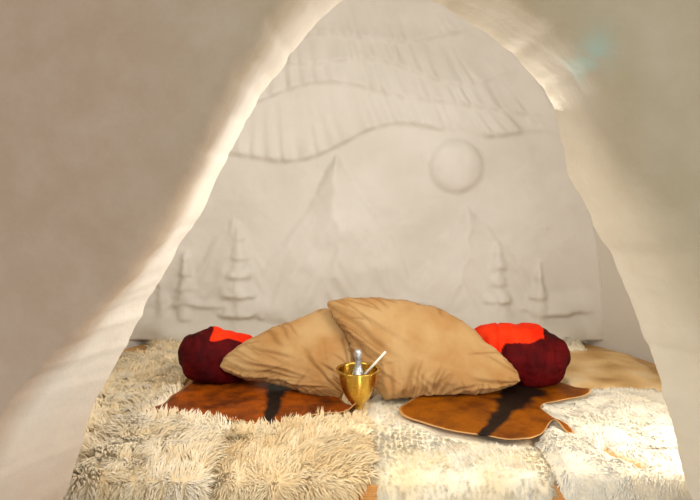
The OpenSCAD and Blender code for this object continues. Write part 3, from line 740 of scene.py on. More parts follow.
# A line across the right fleece where the wool parts and the skin's tan edge shows
PARTING = [(0.895, -0.615), (0.915, -0.66), (0.95, -0.70), (0.985, -0.735)]
PARTING_W = 0.022
# The front pelts hang over the boards, 22 mm in front of their faces
HANG_Y = BOARD_FACE_Y - 0.022
HANG = 0.13
# Whole numbers that give each tuft of wool its place in a table of random values
TUFT_PRIMES = (7919, 104729, 1299709)
TUFTS = 65536
# How far a root may stray in its cell of the net, how deep it sits in the pelt, the half thickness
# of a lock 70 mm long, and the step over which the pelt's slope is read
JITTER, ROOT_DEEP, LOCK_R, SLOPE_STEP = 0.6, 0.004, 0.0038, 0.01


def from_parting(p):
    # how far each point is from the parting, and the way that leads away from it
    best = np.full(len(p), np.inf)
    away = np.zeros((len(p), 3))
    for start, end in zip(PARTING[:-1], PARTING[1:]):
        off = np.stack(from_side(p[:, 0], p[:, 1], start, end)[1:], axis=1)
        far = np.hypot(off[:, 0], off[:, 1])
        nearer = far < best
        best = np.where(nearer, far, best)
        away[nearer, :2] = (off / np.maximum(far, 1e-4)[:, None])[nearer]
    return best, away


def pelt_top(box, height, hang, corner, seed):
    # the pelt's upper side, as a function of u and v, which run from 0 to 1 across and back
    x0, x1, y0, y1 = box
    long_y = y1 - y0
    # how round the pelt rolls over the boards' edge, how high its skin lies, and how thick a pelt
    # may be under the right hide
    roll, skin, most = 0.032, 0.010, 0.054

    def top(u, v):
        # the front hangs over the boards by hang, less so at the rounded corners
        side = np.where(u < 0.5, corner[0], corner[1])
        edge_u = np.minimum(u, 1 - u) * (x1 - x0)
        near = np.clip(1 - edge_u / side, 0, 1)
        drop = hang * (1 - near ** 1.6)
        s = v * (long_y + drop) - drop
        y = y0 + roll * np.log1p(np.exp(np.clip(s / roll, -40, 40)))
        down = roll * np.log1p(np.exp(np.clip(-s / roll, -40, 40)))
        y = y + near ** 2 * 0.04 * (1 - ease(s / 0.3))
        x = x0 + (x1 - x0) * u
        if hang:
            x = x + (0.5 - u) * 0.10 * ease((0.12 - (1 - v) * long_y) / 0.12)
        edge = np.minimum(edge_u, (1 - v) * long_y + 0.02)
        swell = ease(edge / 0.05)
        p = flat_points(x, y)
        wave = rough(p, seed, (0.010, 0.17), (0.005, 0.07))
        # the front wool is pushed up along the left hide's edge
        pushed = 0
        if hang:
            pushed = 0.014 * ease((0.06 + depth_in(left_hide_line, x, y)) / 0.06) * ease((-0.13 - x) / 0.06)
        # a thick pelt is pressed down under the right hide
        sunk = max(height - most, 0) * ease((0.03 + depth_in(right_hide_line, x, y)) / 0.06)
        fold = 0.016 * np.exp(-(from_parting(p)[0] / PARTING_W) ** 2)
        z = DECK_Z + skin + (height - skin + wave) * (0.6 + 0.4 * swell)
        z = z + pushed - sunk - fold - down
        return np.stack([x, y, z], axis=1)

    return top


def pelt_shell(top, net):
    # the pelt under its wool: the upper side, a short edge and a closed underside
    bm = grid(net, net)
    uv = spots(bm)
    place(bm, top(uv[:, 0], uv[:, 1]))
    for v in skirt(bm):
        v.co.z -= 0.012
        v.co.y += 0.004
    seal(bm, most_sides=4)
    return points_and_faces(bm)


def fleece(node, finish, height, pile, spread, seed, hang=0.0, lap=0.0, corner=(0.10, 0.10), curl=0.6,
        clump=0.05, fine=1.0, lift=1.0, shade=(0.66, 0.30), bends=True, slot="wool", net=48, deep=0.78,
        lean=0.78):
    # a pelt with its wool: pile is the locks' length, spread their spacing, lap how far the pelt
    # reaches over the one on its left, curl and clump how the locks gather into tufts
    # deep says how much darker the roots are painted, as shade in the depth of the wool
    rng = np.random.default_rng(seed)
    lo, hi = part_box(node)
    # the wool stands this far out past the skin
    past = 0.014
    x0, x1, y0, y1 = lo.x - past - lap, hi.x + past, HANG_Y if hang else lo.y, hi.y + past
    shape, shape_faces = lock_template(bends)
    top = pelt_top((x0, x1, y0, y1), height, hang, corner, seed)
    pelt_points, pelt_faces = pelt_shell(top, net)

    # roots on a jittered net over the pelt, left out where hides and bags lie on it
    nu, nv = int((x1 - x0) / spread), int((y1 - y0 + hang) / spread)
    gu, gv = np.meshgrid((np.arange(nu) + 0.5) / nu, (np.arange(nv) + 0.5) / nv)
    u = np.clip(gu.ravel() + rng.uniform(-JITTER, JITTER, gu.size) / nu, 0.002, 0.998)
    v = np.clip(gv.ravel() + rng.uniform(-JITTER, JITTER, gv.size) / nv, 0.002, 0.998)
    root = top(u, v)
    left_in = depth_in(left_hide_line, root[:, 0], root[:, 1])
    right_in = depth_in(right_hide_line, root[:, 0], root[:, 1])
    free = (left_in < 0.004) & (right_in < 0.010)
    for px, py, half_x, half_y in PRESSED:
        free &= ((root[:, 0] - px) / half_x) ** 2 + ((root[:, 1] - py) / half_y) ** 2 > 1
    u, v, root, left_in, right_in = (values[free] for values in (u, v, root, left_in, right_in))
    count = len(u)
    du = top(np.clip(u + SLOPE_STEP, 0, 1), v) - top(np.clip(u - SLOPE_STEP, 0, 1), v)
    dv = top(u, np.clip(v + SLOPE_STEP, 0, 1)) - top(u, np.clip(v - SLOPE_STEP, 0, 1))
    up = unit(np.cross(du, dv))
    root = root - up * ROOT_DEEP
    # wool parts into tufts: tips in one cell of a warped net lean to the same point
    warp = [0.5 * clump * lumps(root, clump * 1.4, seed + k) for k in (3, 4)]
    cell = np.floor((root + np.stack(warp + [np.zeros(count)], axis=1)) / clump).astype(np.int64)
    tuft = rng.uniform(-1, 1, (TUFTS, 4))[(cell * TUFT_PRIMES).sum(axis=1) % TUFTS]
    middle = (cell + 0.5) * clump
    middle[:, 2] = root[:, 2]
    angle = 2.6 * lumps(root, 0.24, seed + 5) * math.pi / 2 + 0.9 * lumps(root, 0.09, seed + 6)
    flow = np.stack([np.cos(angle - 1.9), np.sin(angle - 1.9), np.zeros(count)], axis=1)
    flow[:, :2] += 0.7 * tuft[:, :2]
    # locks along the two long edges fall outwards, across the joint to the next pelt
    flow[:, 0] += 0.9 * np.sign(u - 0.5) * np.exp(-np.minimum(u, 1 - u) * (x1 - x0) / 0.03)
    hanging = np.clip(1 - up[:, 2], 0, 1)[:, None]
    flow = flow * (1 - hanging) + hanging * (np.array([[0, -0.25, -1.0]]) + 0.35 * tuft[:, :3])
    parting_off, away = from_parting(root)
    parted = np.exp(-(parting_off / PARTING_W) ** 2)
    flow = flow * (1 - parted)[:, None] + 1.2 * parted[:, None] * away
    # tufts in front of the left hide stand up and fall back over its edge, and those before the
    # right hide lie under its edge
    over = ease((0.075 + left_in) / 0.06) * (root[:, 1] < -0.05)
    under = ease((0.025 + right_in) / 0.03)
    flow = flow * (1 - over)[:, None] + over[:, None] * np.array([[0.0, 0.55, 0.3]])
    length = pile * (0.75 + 0.25 * tuft[:, 3] + 0.22 * rng.uniform(-1, 1, count))
    length = length * (1 - 0.25 * over) * (1 - 0.55 * under) * (1 - 0.55 * parted)
    rise = (lift * (0.45 + 0.35 * np.abs(tuft[:, 2])) * (1 + 0.5 * over) * (1 - 0.6 * under))[:, None]
    stray = rng.normal(0, 0.22, (count, 3))
    lone = root + (flow * (1 - rise * 0.5) + up * rise * 0.9 + stray) * length[:, None]
    bundle = middle + (flow * (1 - rise * 0.5) + up * rise) * length[:, None]
    reach = lone * (1 - curl) + bundle * curl - root
    longest = np.minimum(1, length * 1.1 / np.maximum(np.linalg.norm(reach, axis=1), 1e-6))
    tip = root + reach * longest[:, None]
    knee = root + (up * 0.62 + 0.25 * flow + 0.2 * stray) * length[:, None]
    knee[:, 2] = np.minimum(knee[:, 2], root[:, 2] + 0.05)
    radius = LOCK_R * fine * rng.uniform(0.5, 1.35, count) * (pile / 0.07) ** 0.4
    tip[:, 2] = np.maximum(tip[:, 2], np.where(tip[:, 1] > BOARD_FACE_Y, DECK_Z + 0.006, 0.25))

    per = len(shape)
    base = len(pelt_points) + np.arange(count) * per
    faces = list(pelt_faces)
    for face in shape_faces:
        faces.extend((base[:, None] + np.array(face)[None, :]).tolist())
    name = node + ("_hair" if slot == "calfskin" else "_wool")
    mesh = bpy.data.meshes.new(name)
    points = np.concatenate([pelt_points, grow(shape, root, knee, tip, radius)])
    mesh.from_pydata(points.tolist(), [], faces)
    mesh.update()
    obj = piece_of(name, mesh, finish, slot, node)
    own = shade[0] + shade[1] * (0.35 * tuft[:, 2] + rng.uniform(-0.35, 0.35, count)
        + 0.6 * lumps(root, 0.11, seed + 8))
    # painted shade: each lock darker towards its root, by deep, as the wool's depth is shaded
    along_lock = shape[:, 2][None, :]
    tone = np.clip(own[:, None] * (deep + (1.1 - deep) * along_lock), 0, 1)
    # painted shade: the pelt under the locks is darker, as the wool shades it, with random lumps
    shaded_pelt_tone = np.clip(0.55 * deep + shade[1] * 0.6 * lumps(pelt_points, 0.11, seed + 8), 0, 1)
    paint(obj, "tone", np.concatenate([shaded_pelt_tone, tone.ravel()]))
    bare = (1.15 * ease(parted * 1.6 - 0.5))[:, None] * (1.1 - along_lock)
    bare_skin = 0.9 * ease((0.026 - from_parting(pelt_points)[0]) / 0.016)
    paint(obj, "bare", np.concatenate([bare_skin, np.clip(bare * 1.5, 0, 1).ravel()]))
    # the locks take the light much as the pelt under them does, as fine hair does
    own_normals = coords(mesh, "normal")
    pelt_normals = np.concatenate([own_normals[:len(pelt_points)], np.repeat(up, per, axis=0)])
    leaning = unit(own_normals * (1 - lean) + lean * pelt_normals)
    mesh.normals_split_custom_set_from_vertices(leaning.tolist())


# shade is each fleece's tone and how far it varies; the front left fleece's higher tone and the front middle
# left fleece's lower one, both of the same wool, are painted light and shade set against how the lamps light
# them
fleece("fleece_front_left", long_wool, 0.045, 0.066, 0.0073, 201, HANG, corner=(0.16, 0.03),
    shade=(0.74, 0.32))
fleece("fleece_front_mid_left", long_wool, 0.047, 0.068, 0.0069, 202, HANG, 0.01, corner=(0.03, 0.20),
    shade=(0.34, 0.32))
fleece("fleece_front_mid_right", short_wool, 0.048, 0.026, 0.0060, 203, HANG, corner=(0.06, 0.05),
    clump=0.022, lift=1.2, fine=1.25, shade=(0.56, 0.60), bends=False)
fleece("fleece_front_right", white_wool, 0.074, 0.028, 0.0076, 204, HANG, 0.03, corner=(0.05, 0.16), curl=0.3,
    clump=0.035, lift=0.8, shade=(0.90, 0.10), fine=1.1, deep=1.0, lean=0.92)
fleece("fleece_side_left", long_wool, 0.042, 0.050, 0.0110, 205)
fleece("calfskin_side_right", calf_hair, 0.058, 0.016, 0.0090, 209, curl=0.0, clump=0.03, lift=0.4, fine=1.2,
    shade=(0.6, 0.8), bends=False, slot="calfskin")
fleece("fleece_middle", long_wool, 0.040, 0.040, 0.0240, 206, fine=1.8, net=32)
fleece("fleece_back_left", long_wool, 0.045, 0.050, 0.0160, 207, fine=1.5, net=32)
fleece("fleece_back_right", short_wool, 0.056, 0.050, 0.0150, 208, fine=1.6, net=32, lean=0.85)


# Goat hide: short glossy hair, orange brown with darker clouds, and a black stripe along the spine
def goat_hair(name, pale, body, dark):
    made, tree, shader = blank(name, Roughness=0.5, Specular_IOR_Level=0.12)
    where = add(tree, "TexCoord").outputs["Object"]
    cloud = add(tree, "TexNoise", {"Vector": where, "Scale": 7.0, "Detail": 4.0, "Roughness": 0.6})
    # hair 0.3 mm thick is drawn as streaks 2 mm wide and 20 mm long, so that it shows
    combed = add(tree, "Mapping", {"Vector": where, "Scale": (500.0, 60.0, 500.0), "Rotation": (0, 0, 0.25)})
    hair = add(tree, "TexNoise", {"Vector": combed, "Scale": 1.0, "Detail": 2.0, "Distortion": 0.6})
    cloudy = add(tree, "MapRange", {0: cloud, 1: 0.42, 2: 0.66})
    base = add(tree, "Mix", {0: cloudy, 6: body, 7: dark}, data_type="RGBA")
    streaks = add(tree, "MapRange", {0: hair, 1: 0.35, 2: 0.70, 3: 0.0, 4: 0.65})
    haired = add(tree, "Mix", {0: streaks, 6: base, 7: dark}, data_type="RGBA")
    edge = add(tree, "Attribute", attribute_name="edge").outputs["Fac"]
    rimmed = add(tree, "Mix", {0: edge, 6: haired, 7: pale}, data_type="RGBA")
    spine = add(tree, "Attribute", attribute_name="spine").outputs["Fac"]
    blurred = add(tree, "Math", {0: spine, 1: cloud}, operation="ADD")
    black = add(tree, "MapRange", {0: blurred, 1: 0.80, 2: 1.12})
    striped = add(tree, "Mix", {0: black, 6: rimmed, 7: "1C120C"}, data_type="RGBA")
    lay = add(tree, "Bump", {"Height": hair, "Strength": 0.5, "Distance": 0.0012})
    feed(shader, {"Base Color": striped, "Normal": lay})
    return made


dark_goat = goat_hair("dark_goat_hair", "D8A468", "A85006", "522204")
red_goat = goat_hair("red_goat_hair", "E6B678", "9C5603", "643002")


def ring_sheet(line, rings):
    # a sheet in rings from its middle out to a closed line, with each point's place across and back
    around = len(line)
    bm = grid(around, rings)
    uv = spots(bm)
    turn = np.rint(uv[:, 0] * around).astype(int) % around
    middle = line.mean(axis=0)
    return bm, (middle + (line[turn] - middle) * uv[:, 1:2]).T


def hide(name, node, finish, line, seed, stripe, bumps, curls):
    # a hide laid on the wool: slack waves, an edge that dips and lifts, and curls where they show
    line = rounded(line, 1)
    bm, (x, y) = ring_sheet(line, 32)
    p = flat_points(x, y)
    z = rough(p, seed, (0.006, 0.21), (0.0035, 0.09), (0.0015, 0.04), level=HIDE_Z + 0.004)
    inside = depth_in(line, x, y)
    z = z - 0.006 * ease(1 - inside / 0.05) * (0.4 + 0.6 * lumps(p, 0.12, seed + 3))
    for bx, by, size, high in bumps:
        z = z + high * np.exp(-((x - bx) ** 2 + (y - by) ** 2) / size ** 2)
    # a corner that curls up: its root, the way it points and how high its tip stands
    for cx, cy, dx, dy, high in curls:
        s = (x - cx) * dx + (y - cy) * dy
        z = z + high * np.clip(s / 0.06, 0, 1.2) ** 2
    place(bm, np.stack([x, y, z], axis=1))
    merge(bm)
    below = bmesh.ops.extrude_face_region(bm, geom=bm.faces[:], use_keep_orig=True)["geom"]
    bmesh.ops.translate(bm, verts=[v for v in below if isinstance(v, bmesh.types.BMVert)], vec=(0, 0, -0.003))
    bmesh.ops.recalc_face_normals(bm, faces=bm.faces)
    obj = piece(name, bm, finish, "goat_hide", node)
    q = coords(obj.data)
    inside = depth_in(line, q[:, 0], q[:, 1])
    paint(obj, "edge", ease((0.0055 - inside) / 0.005) * 0.75)
    near = np.zeros(len(q))
    for (ax, ay, aw), (bx, by, bw) in zip(stripe[:-1], stripe[1:]):
        t, dx, dy = from_side(q[:, 0], q[:, 1], (ax, ay), (bx, by))
        near = np.maximum(near, 1 - np.hypot(dx, dy) / (aw + (bw - aw) * t))
    paint(obj, "spine", np.clip(near, 0, 1))


hide("goat_hide_left_skin", "goat_hide_left", dark_goat, left_hide_line, 301,
    [(-0.45, 0.40, 0.13), (-0.455, 0.03, 0.10), (-0.447, -0.20, 0.062), (-0.452, -0.40, 0.05)],
    [(-0.075, -0.245, 0.030, 0.024), (-0.90, -0.06, 0.06, 0.020), (-0.62, -0.20, 0.10, 0.012),
     (-0.30, -0.24, 0.08, 0.010)], [(-0.125, -0.24, 0.94, -0.34, 0.022)])
hide("goat_hide_right_skin", "goat_hide_right", red_goat, right_hide_line, 311,
    [(0.80, 0.35, 0.20), (0.73, 0.035, 0.17), (0.585, -0.255, 0.075), (0.44, -0.50, 0.045)],
    [(0.765, -0.41, 0.038, 0.030), (0.62, -0.52, 0.06, 0.014), (1.05, 0.0, 0.05, 0.016),
     (0.88, -0.05, 0.07, 0.010)], [(1.02, -0.02, 1.0, 0.0, 0.014)])


# Puts fibre into a sewn case: the case is blown up by Cloth with its cloth cut a little large, which
# creases it, and no point may go further than cap. Across the facing the sewn outline gives way by
# only a third, as a case drawn over its filling does. The mesh that comes out is kept
def stuff(obj, pressure, cap, facing=None):
    slack = 0.12
    frames = 20
    scene = bpy.context.scene
    before = coords(obj.data).copy()
    cloth = obj.modifiers.new("cloth", "CLOTH")
    settings = cloth.settings
    settings.quality = 6
    settings.mass = 0.15
    settings.tension_stiffness = settings.compression_stiffness = 12
    settings.shear_stiffness = 6
    settings.bending_stiffness = 0.05
    settings.use_pressure = True
    settings.uniform_pressure_force = pressure
    settings.shrink_min = settings.shrink_max = -slack
    settings.effector_weights.gravity = 0
    cloth.collision_settings.use_self_collision = False
    cloth.collision_settings.use_collision = False
    cloth.point_cache.frame_start = 1
    cloth.point_cache.frame_end = frames
    for frame_number in range(1, frames + 1):
        scene.frame_set(frame_number)
        bpy.context.view_layer.update()
    done = obj.evaluated_get(bpy.context.evaluated_depsgraph_get())
    after = coords(done.data).copy()
    obj.modifiers.remove(cloth)
    scene.frame_set(1)
    moved = after - before
    if facing is not None:
        outwards = (moved @ facing)[:, None] * facing[None, :]
        moved = outwards + (moved - outwards) * 0.35
    far = np.linalg.norm(moved, axis=1)
    moved *= np.minimum(1, cap / np.maximum(far, 1e-9))[:, None]
    obj.data.vertices.foreach_set("co", (before + moved).ravel())
    obj.data.update()


def smooth_out(obj):
    # one subdivision, kept in the mesh
    obj.modifiers.new("subdivision", "SUBSURF").levels = 1
    finer = bpy.data.meshes.new_from_object(obj.evaluated_get(bpy.context.evaluated_depsgraph_get()))
    obj.modifiers.clear()
    obj.data = finer


def numbers(mesh, name):
    values = np.empty(len(mesh.vertices), dtype=np.float32)
    mesh.attributes[name].data.foreach_get("value", values)
    return values


def push_out(obj, amount):
    # moves each point along its own normal
    moved = coords(obj.data) + coords(obj.data, "normal") * amount[:, None]
    moved[:, 2] = np.maximum(moved[:, 2], BEDDING_Z)
    obj.data.vertices.foreach_set("co", moved.ravel())
    obj.data.update()


# Washed cotton: a plain weave of 0.5 mm threads, drawn at 1.2 mm so that it shows, in a warm tan
# with painted shade, a darker brown, in the valleys of its creases and along its seams
def cotton():
    made, tree, shader = blank("washed_tan_cotton", Roughness=0.88, Specular_IOR_Level=0.12,
        Sheen_Weight=0.06, Sheen_Roughness=0.5)
    where = add(tree, "TexCoord").outputs["Object"]
    broad = add(tree, "TexNoise", {"Vector": where, "Scale": 6.0, "Detail": 3.0})
    slub = add(tree, "TexNoise", {"Vector": where, "Scale": 420.0, "Detail": 2.0})
    warp = add(tree, "TexWave", {"Vector": where, "Scale": 260.0, "Distortion": 1.0}, bands_direction="X")
    weft = add(tree, "TexWave", {"Vector": where, "Scale": 260.0, "Distortion": 1.0}, bands_direction="Z")
    weave = add(tree, "Math", {0: warp.outputs["Fac"], 1: weft.outputs["Fac"]}, operation="ADD")
    tone = add(tree, "MapRange", {0: broad, 1: 0.35, 2: 0.65})
    body = add(tree, "Mix", {0: tone, 6: "B89666", 7: "A87C4A"}, data_type="RGBA")
    # painted shade: darker brown in the crease valleys and along the seams
    crease_shade = add(tree, "Attribute", attribute_name="crease_shade").outputs["Fac"]
    crease_shaded = add(tree, "Mix", {0: crease_shade, 6: body, 7: "7A4F20"}, data_type="RGBA")
    fleck = add(tree, "MapRange", {0: slub, 1: 0.4, 2: 0.7, 3: 0.0, 4: 0.12})
    last = add(tree, "Mix", {0: fleck, 6: crease_shaded, 7: "87643C"}, data_type="RGBA")
    woven = add(tree, "Bump", {"Height": weave, "Strength": 0.15, "Distance": 0.0006})
    rumple = add(tree, "TexNoise", {"Vector": where, "Scale": 30.0, "Detail": 4.0, "Distortion": 1.4})
    soft = add(tree, "Bump", {"Height": rumple, "Strength": 0.6, "Distance": 0.005,
        "Normal": woven})
    feed(shader, {"Base Color": last, "Normal": soft})
    return made


tan_cotton = cotton()
PILLOW_W = 0.65


def sewn(name, bm, finish, slot, node, pressure, cap, facing=None):
    # a sewn case: closed, filled and made finer
    merge(bm)
    seal(bm)
    obj = piece(name, bm, finish, slot, node)
    stuff(obj, pressure, cap, facing)
    smooth_out(obj)
    return obj


# A stuffed pillow: two faces sewn along four sides, each side a line of points across and up the
# pillow's plane as shares of its width; folds are [start, end, half width in metres, height in metres]
def pillow(name, node, base, lean, turn, bottom, right, top, left, folds, seed, thick):
    cells = 50
    bm = grid(2 * cells, cells)
    uv = spots(bm)
    face = np.where(uv[:, 0] < 0.5, 1.0, -1.0)
    a = np.where(uv[:, 0] < 0.5, 2 * uv[:, 0], 2 - 2 * uv[:, 0])
    b = uv[:, 1]
    bottom, right, top, left = (np.array(line, dtype=float) for line in (bottom, right, top, left))
    low, high, lefts, rights = on_line(bottom, a), on_line(top, a), on_line(left, b), on_line(right, b)
    c00, c10, c01, c11 = bottom[0], bottom[-1], top[0], top[-1]
    s, t = a[:, None], b[:, None]
    plane = (1 - t) * low + t * high + (1 - s) * lefts + s * rights \
        - ((1 - s) * (1 - t) * c00 + s * (1 - t) * c10 + (1 - s) * t * c01 + s * t * c11)
    middle = (c00 + c10 + c01 + c11) / 4
    plane = (middle + (plane - middle) * 0.985) * PILLOW_W
    dome = (np.sin(math.pi * a) * np.sin(math.pi * b)) ** 0.55
    h = face * thick / 2 * dome
    turned_by, back = math.radians(turn), math.radians(lean)
    across = np.array([math.cos(turned_by), math.sin(turned_by), 0])
    up = np.array([-across[1] * math.sin(back), across[0] * math.sin(back), math.cos(back)])
    out = np.cross(across, up)
    p = np.array(base) + plane[:, :1] * across + plane[:, 1:] * up + h[:, None] * out
    p[:, 2] = np.maximum(p[:, 2], BEDDING_Z)
    place(bm, p)
    for label, values in (("a", a), ("b", b), ("face", face)):
        layer = bm.verts.layers.float.new(label)
        for v, value in zip(bm.verts, values.tolist()):
            v[layer] = value
    obj = sewn(name, bm, tan_cotton, "pillow_cloth", node, 2.4, 0.016, out)
    a, b, face = (numbers(obj.data, label) for label in ("a", "b", "face"))
    flat = flat_points(a * PILLOW_W, b * PILLOW_W)
    rng = np.random.default_rng(seed)
    # puckers along the seams, and creases that run in from them
    seam = np.minimum(np.minimum(a, 1 - a), np.minimum(b, 1 - b)) * PILLOW_W
    run = np.where(np.minimum(a, 1 - a) < np.minimum(b, 1 - b), b, a) * PILLOW_W
    own_side = np.round(face)
    pucker = lumps(np.stack([run, own_side, own_side], axis=1), 0.014, seed) * np.exp(-seam / 0.03)
    height = 0.003 * pucker + 0.003 * lumps(flat, 0.11, seed + 1) + 0.0016 * lumps(flat, 0.035, seed + 2)
    dark = np.zeros(len(a))
    short = []
    for _ in range(60):
        side = rng.integers(0, 4)
        s = rng.uniform(0.04, 0.96)
        start = [(s, 0.0), (1.0, s), (s, 1.0), (0.0, s)][side]
        aim = (0.5 + rng.uniform(-0.35, 0.35), 0.5 + rng.uniform(-0.35, 0.35))
        far = rng.uniform(0.12, 0.42)
        end = (start[0] + (aim[0] - start[0]) * far, start[1] + (aim[1] - start[1]) * far)
        short.append([start, end, rng.uniform(0.005, 0.010), rng.uniform(-0.0045, 0.004)])
    wave = 0.02 * lumps(flat, 0.12, seed + 5)
    for start, end, wide, tall in list(folds) + short:
        (ax, ay), (bx, by) = start, end
        s = ((a - ax) * (bx - ax) + (b - ay) * (by - ay)) / ((bx - ax) ** 2 + (by - ay) ** 2)
        off = (a - ax - s * (bx - ax)) * (by - ay) - (b - ay - s * (by - ay)) * (bx - ax)
        off = off / math.hypot(bx - ax, by - ay) * PILLOW_W + wave
        ends = ease(s / 0.15 + 0.3) * ease((1 - s) / 0.35)
        shape = np.exp(-(off / wide) ** 2) - 0.45 * np.exp(-((off - 1.9 * wide) / (1.3 * wide)) ** 2)
        height += np.where(face > 0, tall, tall * 0.6) * shape * ends
        dark = np.maximum(dark, ends * np.exp(-(off / wide) ** 2) * (0.5 if tall < 0 else 0.0))
    push_out(obj, height)
    # painted shade: darker in the valleys of the folds and along the seams
    paint(obj, "crease_shade", np.clip(dark + 0.35 * np.exp(-seam / 0.006), 0, 0.8))


def fan(start_a, start_b, end_a, end_b, count, wide, tall, seed):
    # folds side by side, from one line to another, ridge after valley
    rng = np.random.default_rng(seed)
    made = []
    for k in range(count):
        t = (k + rng.uniform(0.1, 0.9)) / count
        start = [start_a[i] + (start_b[i] - start_a[i]) * t for i in (0, 1)]
        reach = rng.uniform(0.35, 1.25)
        end = [start[i] + (end_a[i] + (end_b[i] - end_a[i]) * t - start[i]) * reach for i in (0, 1)]
        made.append([start, end, wide * rng.uniform(0.5, 1.5), tall * rng.uniform(-1.2, 1.0)])
    return made


right_folds = [[(0.02, 0.98), (0.30, 0.30), 0.016, -0.010], [(0.06, 0.99), (0.45, 0.42), 0.014, 0.007],
    [(0.0, 0.80), (0.16, 0.16), 0.014, -0.009], [(0.02, 0.55), (0.22, 0.12), 0.011, 0.006],
    [(0.10, 0.02), (0.38, 0.36), 0.012, -0.006], [(0.18, 0.0), (0.52, 0.30), 0.011, 0.006],
    [(0.26, 0.0), (0.58, 0.22), 0.009, -0.006], [(0.34, 0.0), (0.30, 0.28), 0.008, 0.005],
    [(0.99, 0.04), (0.62, 0.16), 0.012, -0.006], [(0.98, 0.03), (0.55, 0.06), 0.010, 0.006],
    [(0.05, 0.10), (0.20, 0.52), 0.010, 0.006], [(0.40, 0.0), (0.70, 0.09), 0.008, -0.005]]
left_folds = [[(0.04, 0.08), (0.62, 0.13), 0.013, -0.008], [(0.08, 0.17), (0.76, 0.24), 0.013, 0.007],
    [(0.12, 0.05), (0.85, 0.08), 0.010, 0.006], [(0.10, 0.30), (0.52, 0.33), 0.010, -0.006],
    [(0.96, 0.35), (0.42, 0.76), 0.014, 0.006], [(0.98, 0.22), (0.38, 0.52), 0.012, -0.007],
    [(0.90, 0.70), (0.50, 0.95), 0.014, -0.006], [(0.30, 0.02), (0.72, 0.19), 0.010, -0.006],
    [(0.52, 0.02), (0.92, 0.22), 0.010, 0.006], [(0.14, 0.0), (0.34, 0.13), 0.008, 0.005]]
right_folds += fan((0.0, 0.0), (0.42, 0.0), (0.20, 0.46), (0.66, 0.24), 16, 0.007, 0.006, 411) \
    + fan((0.0, 0.92), (0.0, 0.22), (0.24, 0.46), (0.16, 0.04), 12, 0.007, 0.006, 412) \
    + fan((0.03, 1.0), (0.34, 1.0), (0.14, 0.62), (0.42, 0.72), 6, 0.009, 0.004, 413) \
    + fan((0.46, 0.0), (0.97, 0.0), (0.60, 0.12), (0.86, 0.14), 12, 0.005, 0.0035, 414)
left_folds += fan((0.02, 0.08), (0.04, 0.62), (0.55, 0.07), (0.34, 0.46), 11, 0.007, 0.005, 421) \
    + fan((0.10, 0.0), (0.92, 0.0), (0.28, 0.12), (0.99, 0.16), 12, 0.005, 0.0035, 422) \
    + fan((0.99, 0.12), (0.98, 0.80), (0.70, 0.18), (0.66, 0.66), 8, 0.009, 0.005, 423)
pillow("pillow_right_stuffed", "pillow_right", (0.0618, -0.1192, 0.4818), 34, 6,
    [(-0.005, 0.03), (0.25, 0.015), (0.501, 0.02), (0.78, 0.055), (0.975, 0.105)],
    [(0.975, 0.105), (1.02, 0.15), (1.01, 0.22), (0.94, 0.32), (0.86, 0.43), (0.77, 0.545), (0.65, 0.66)],
    [(-0.385, 0.79), (-0.365, 0.835), (-0.17, 0.862), (0.029, 0.86), (0.229, 0.838), (0.449, 0.77),
     (0.65, 0.66)],
    [(-0.005, 0.03), (-0.11, 0.17), (-0.21, 0.33), (-0.29, 0.56), (-0.36, 0.73), (-0.385, 0.79)],
    right_folds, 401, 0.15)
pillow("pillow_left_stuffed", "pillow_left", (-0.1272, -0.085, 0.4818), 40, -5,
    [(-0.92, 0.225), (-0.734, 0.145), (-0.443, 0.09), (-0.276, 0.055), (-0.03, 0.03)],
    [(-0.03, 0.03), (0.05, 0.13), (0.12, 0.26)],
    [(-0.21, 0.78), (-0.11, 0.76), (0.00, 0.62), (0.07, 0.44), (0.12, 0.26)],
    [(-0.92, 0.225), (-0.965, 0.27), (-0.94, 0.34), (-0.81, 0.466), (-0.69, 0.55), (-0.562, 0.625),
     (-0.38, 0.71), (-0.21, 0.78)],
    left_folds, 402, 0.13)


# Brushed bag cloth: burgundy outside and a scarlet lining, where the flap is turned back
def bag_cloth():
    made, tree, shader = blank("burgundy_bag_cloth", Roughness=0.75, Specular_IOR_Level=0.08)
    where = add(tree, "TexCoord").outputs["Object"]
    broad = add(tree, "TexNoise", {"Vector": where, "Scale": 9.0, "Detail": 3.0})
    weave = add(tree, "TexNoise", {"Vector": where, "Scale": 500.0, "Detail": 1.0})
    rumple = add(tree, "TexNoise", {"Vector": where, "Scale": 26.0, "Detail": 4.0, "Distortion": 1.0})
    tone = add(tree, "MapRange", {0: broad, 1: 0.35, 2: 0.65})
    red = add(tree, "Mix", {0: tone, 6: "58080B", 7: "340407"}, data_type="RGBA")
    scarlet = add(tree, "Mix", {0: tone, 6: "F23A12", 7: "DE2608"}, data_type="RGBA")
    lining = add(tree, "Attribute", attribute_name="lining").outputs["Fac"]
    side = add(tree, "Mix", {0: lining, 6: red, 7: scarlet}, data_type="RGBA")
    thread = add(tree, "Bump", {"Height": weave, "Strength": 0.3, "Distance": 0.0008})
    soft = add(tree, "Bump", {"Height": rumple, "Strength": 0.5, "Distance": 0.006,
        "Normal": thread})
    feed(shader, {"Base Color": side, "Normal": soft})
    return made


burgundy_cloth = bag_cloth()


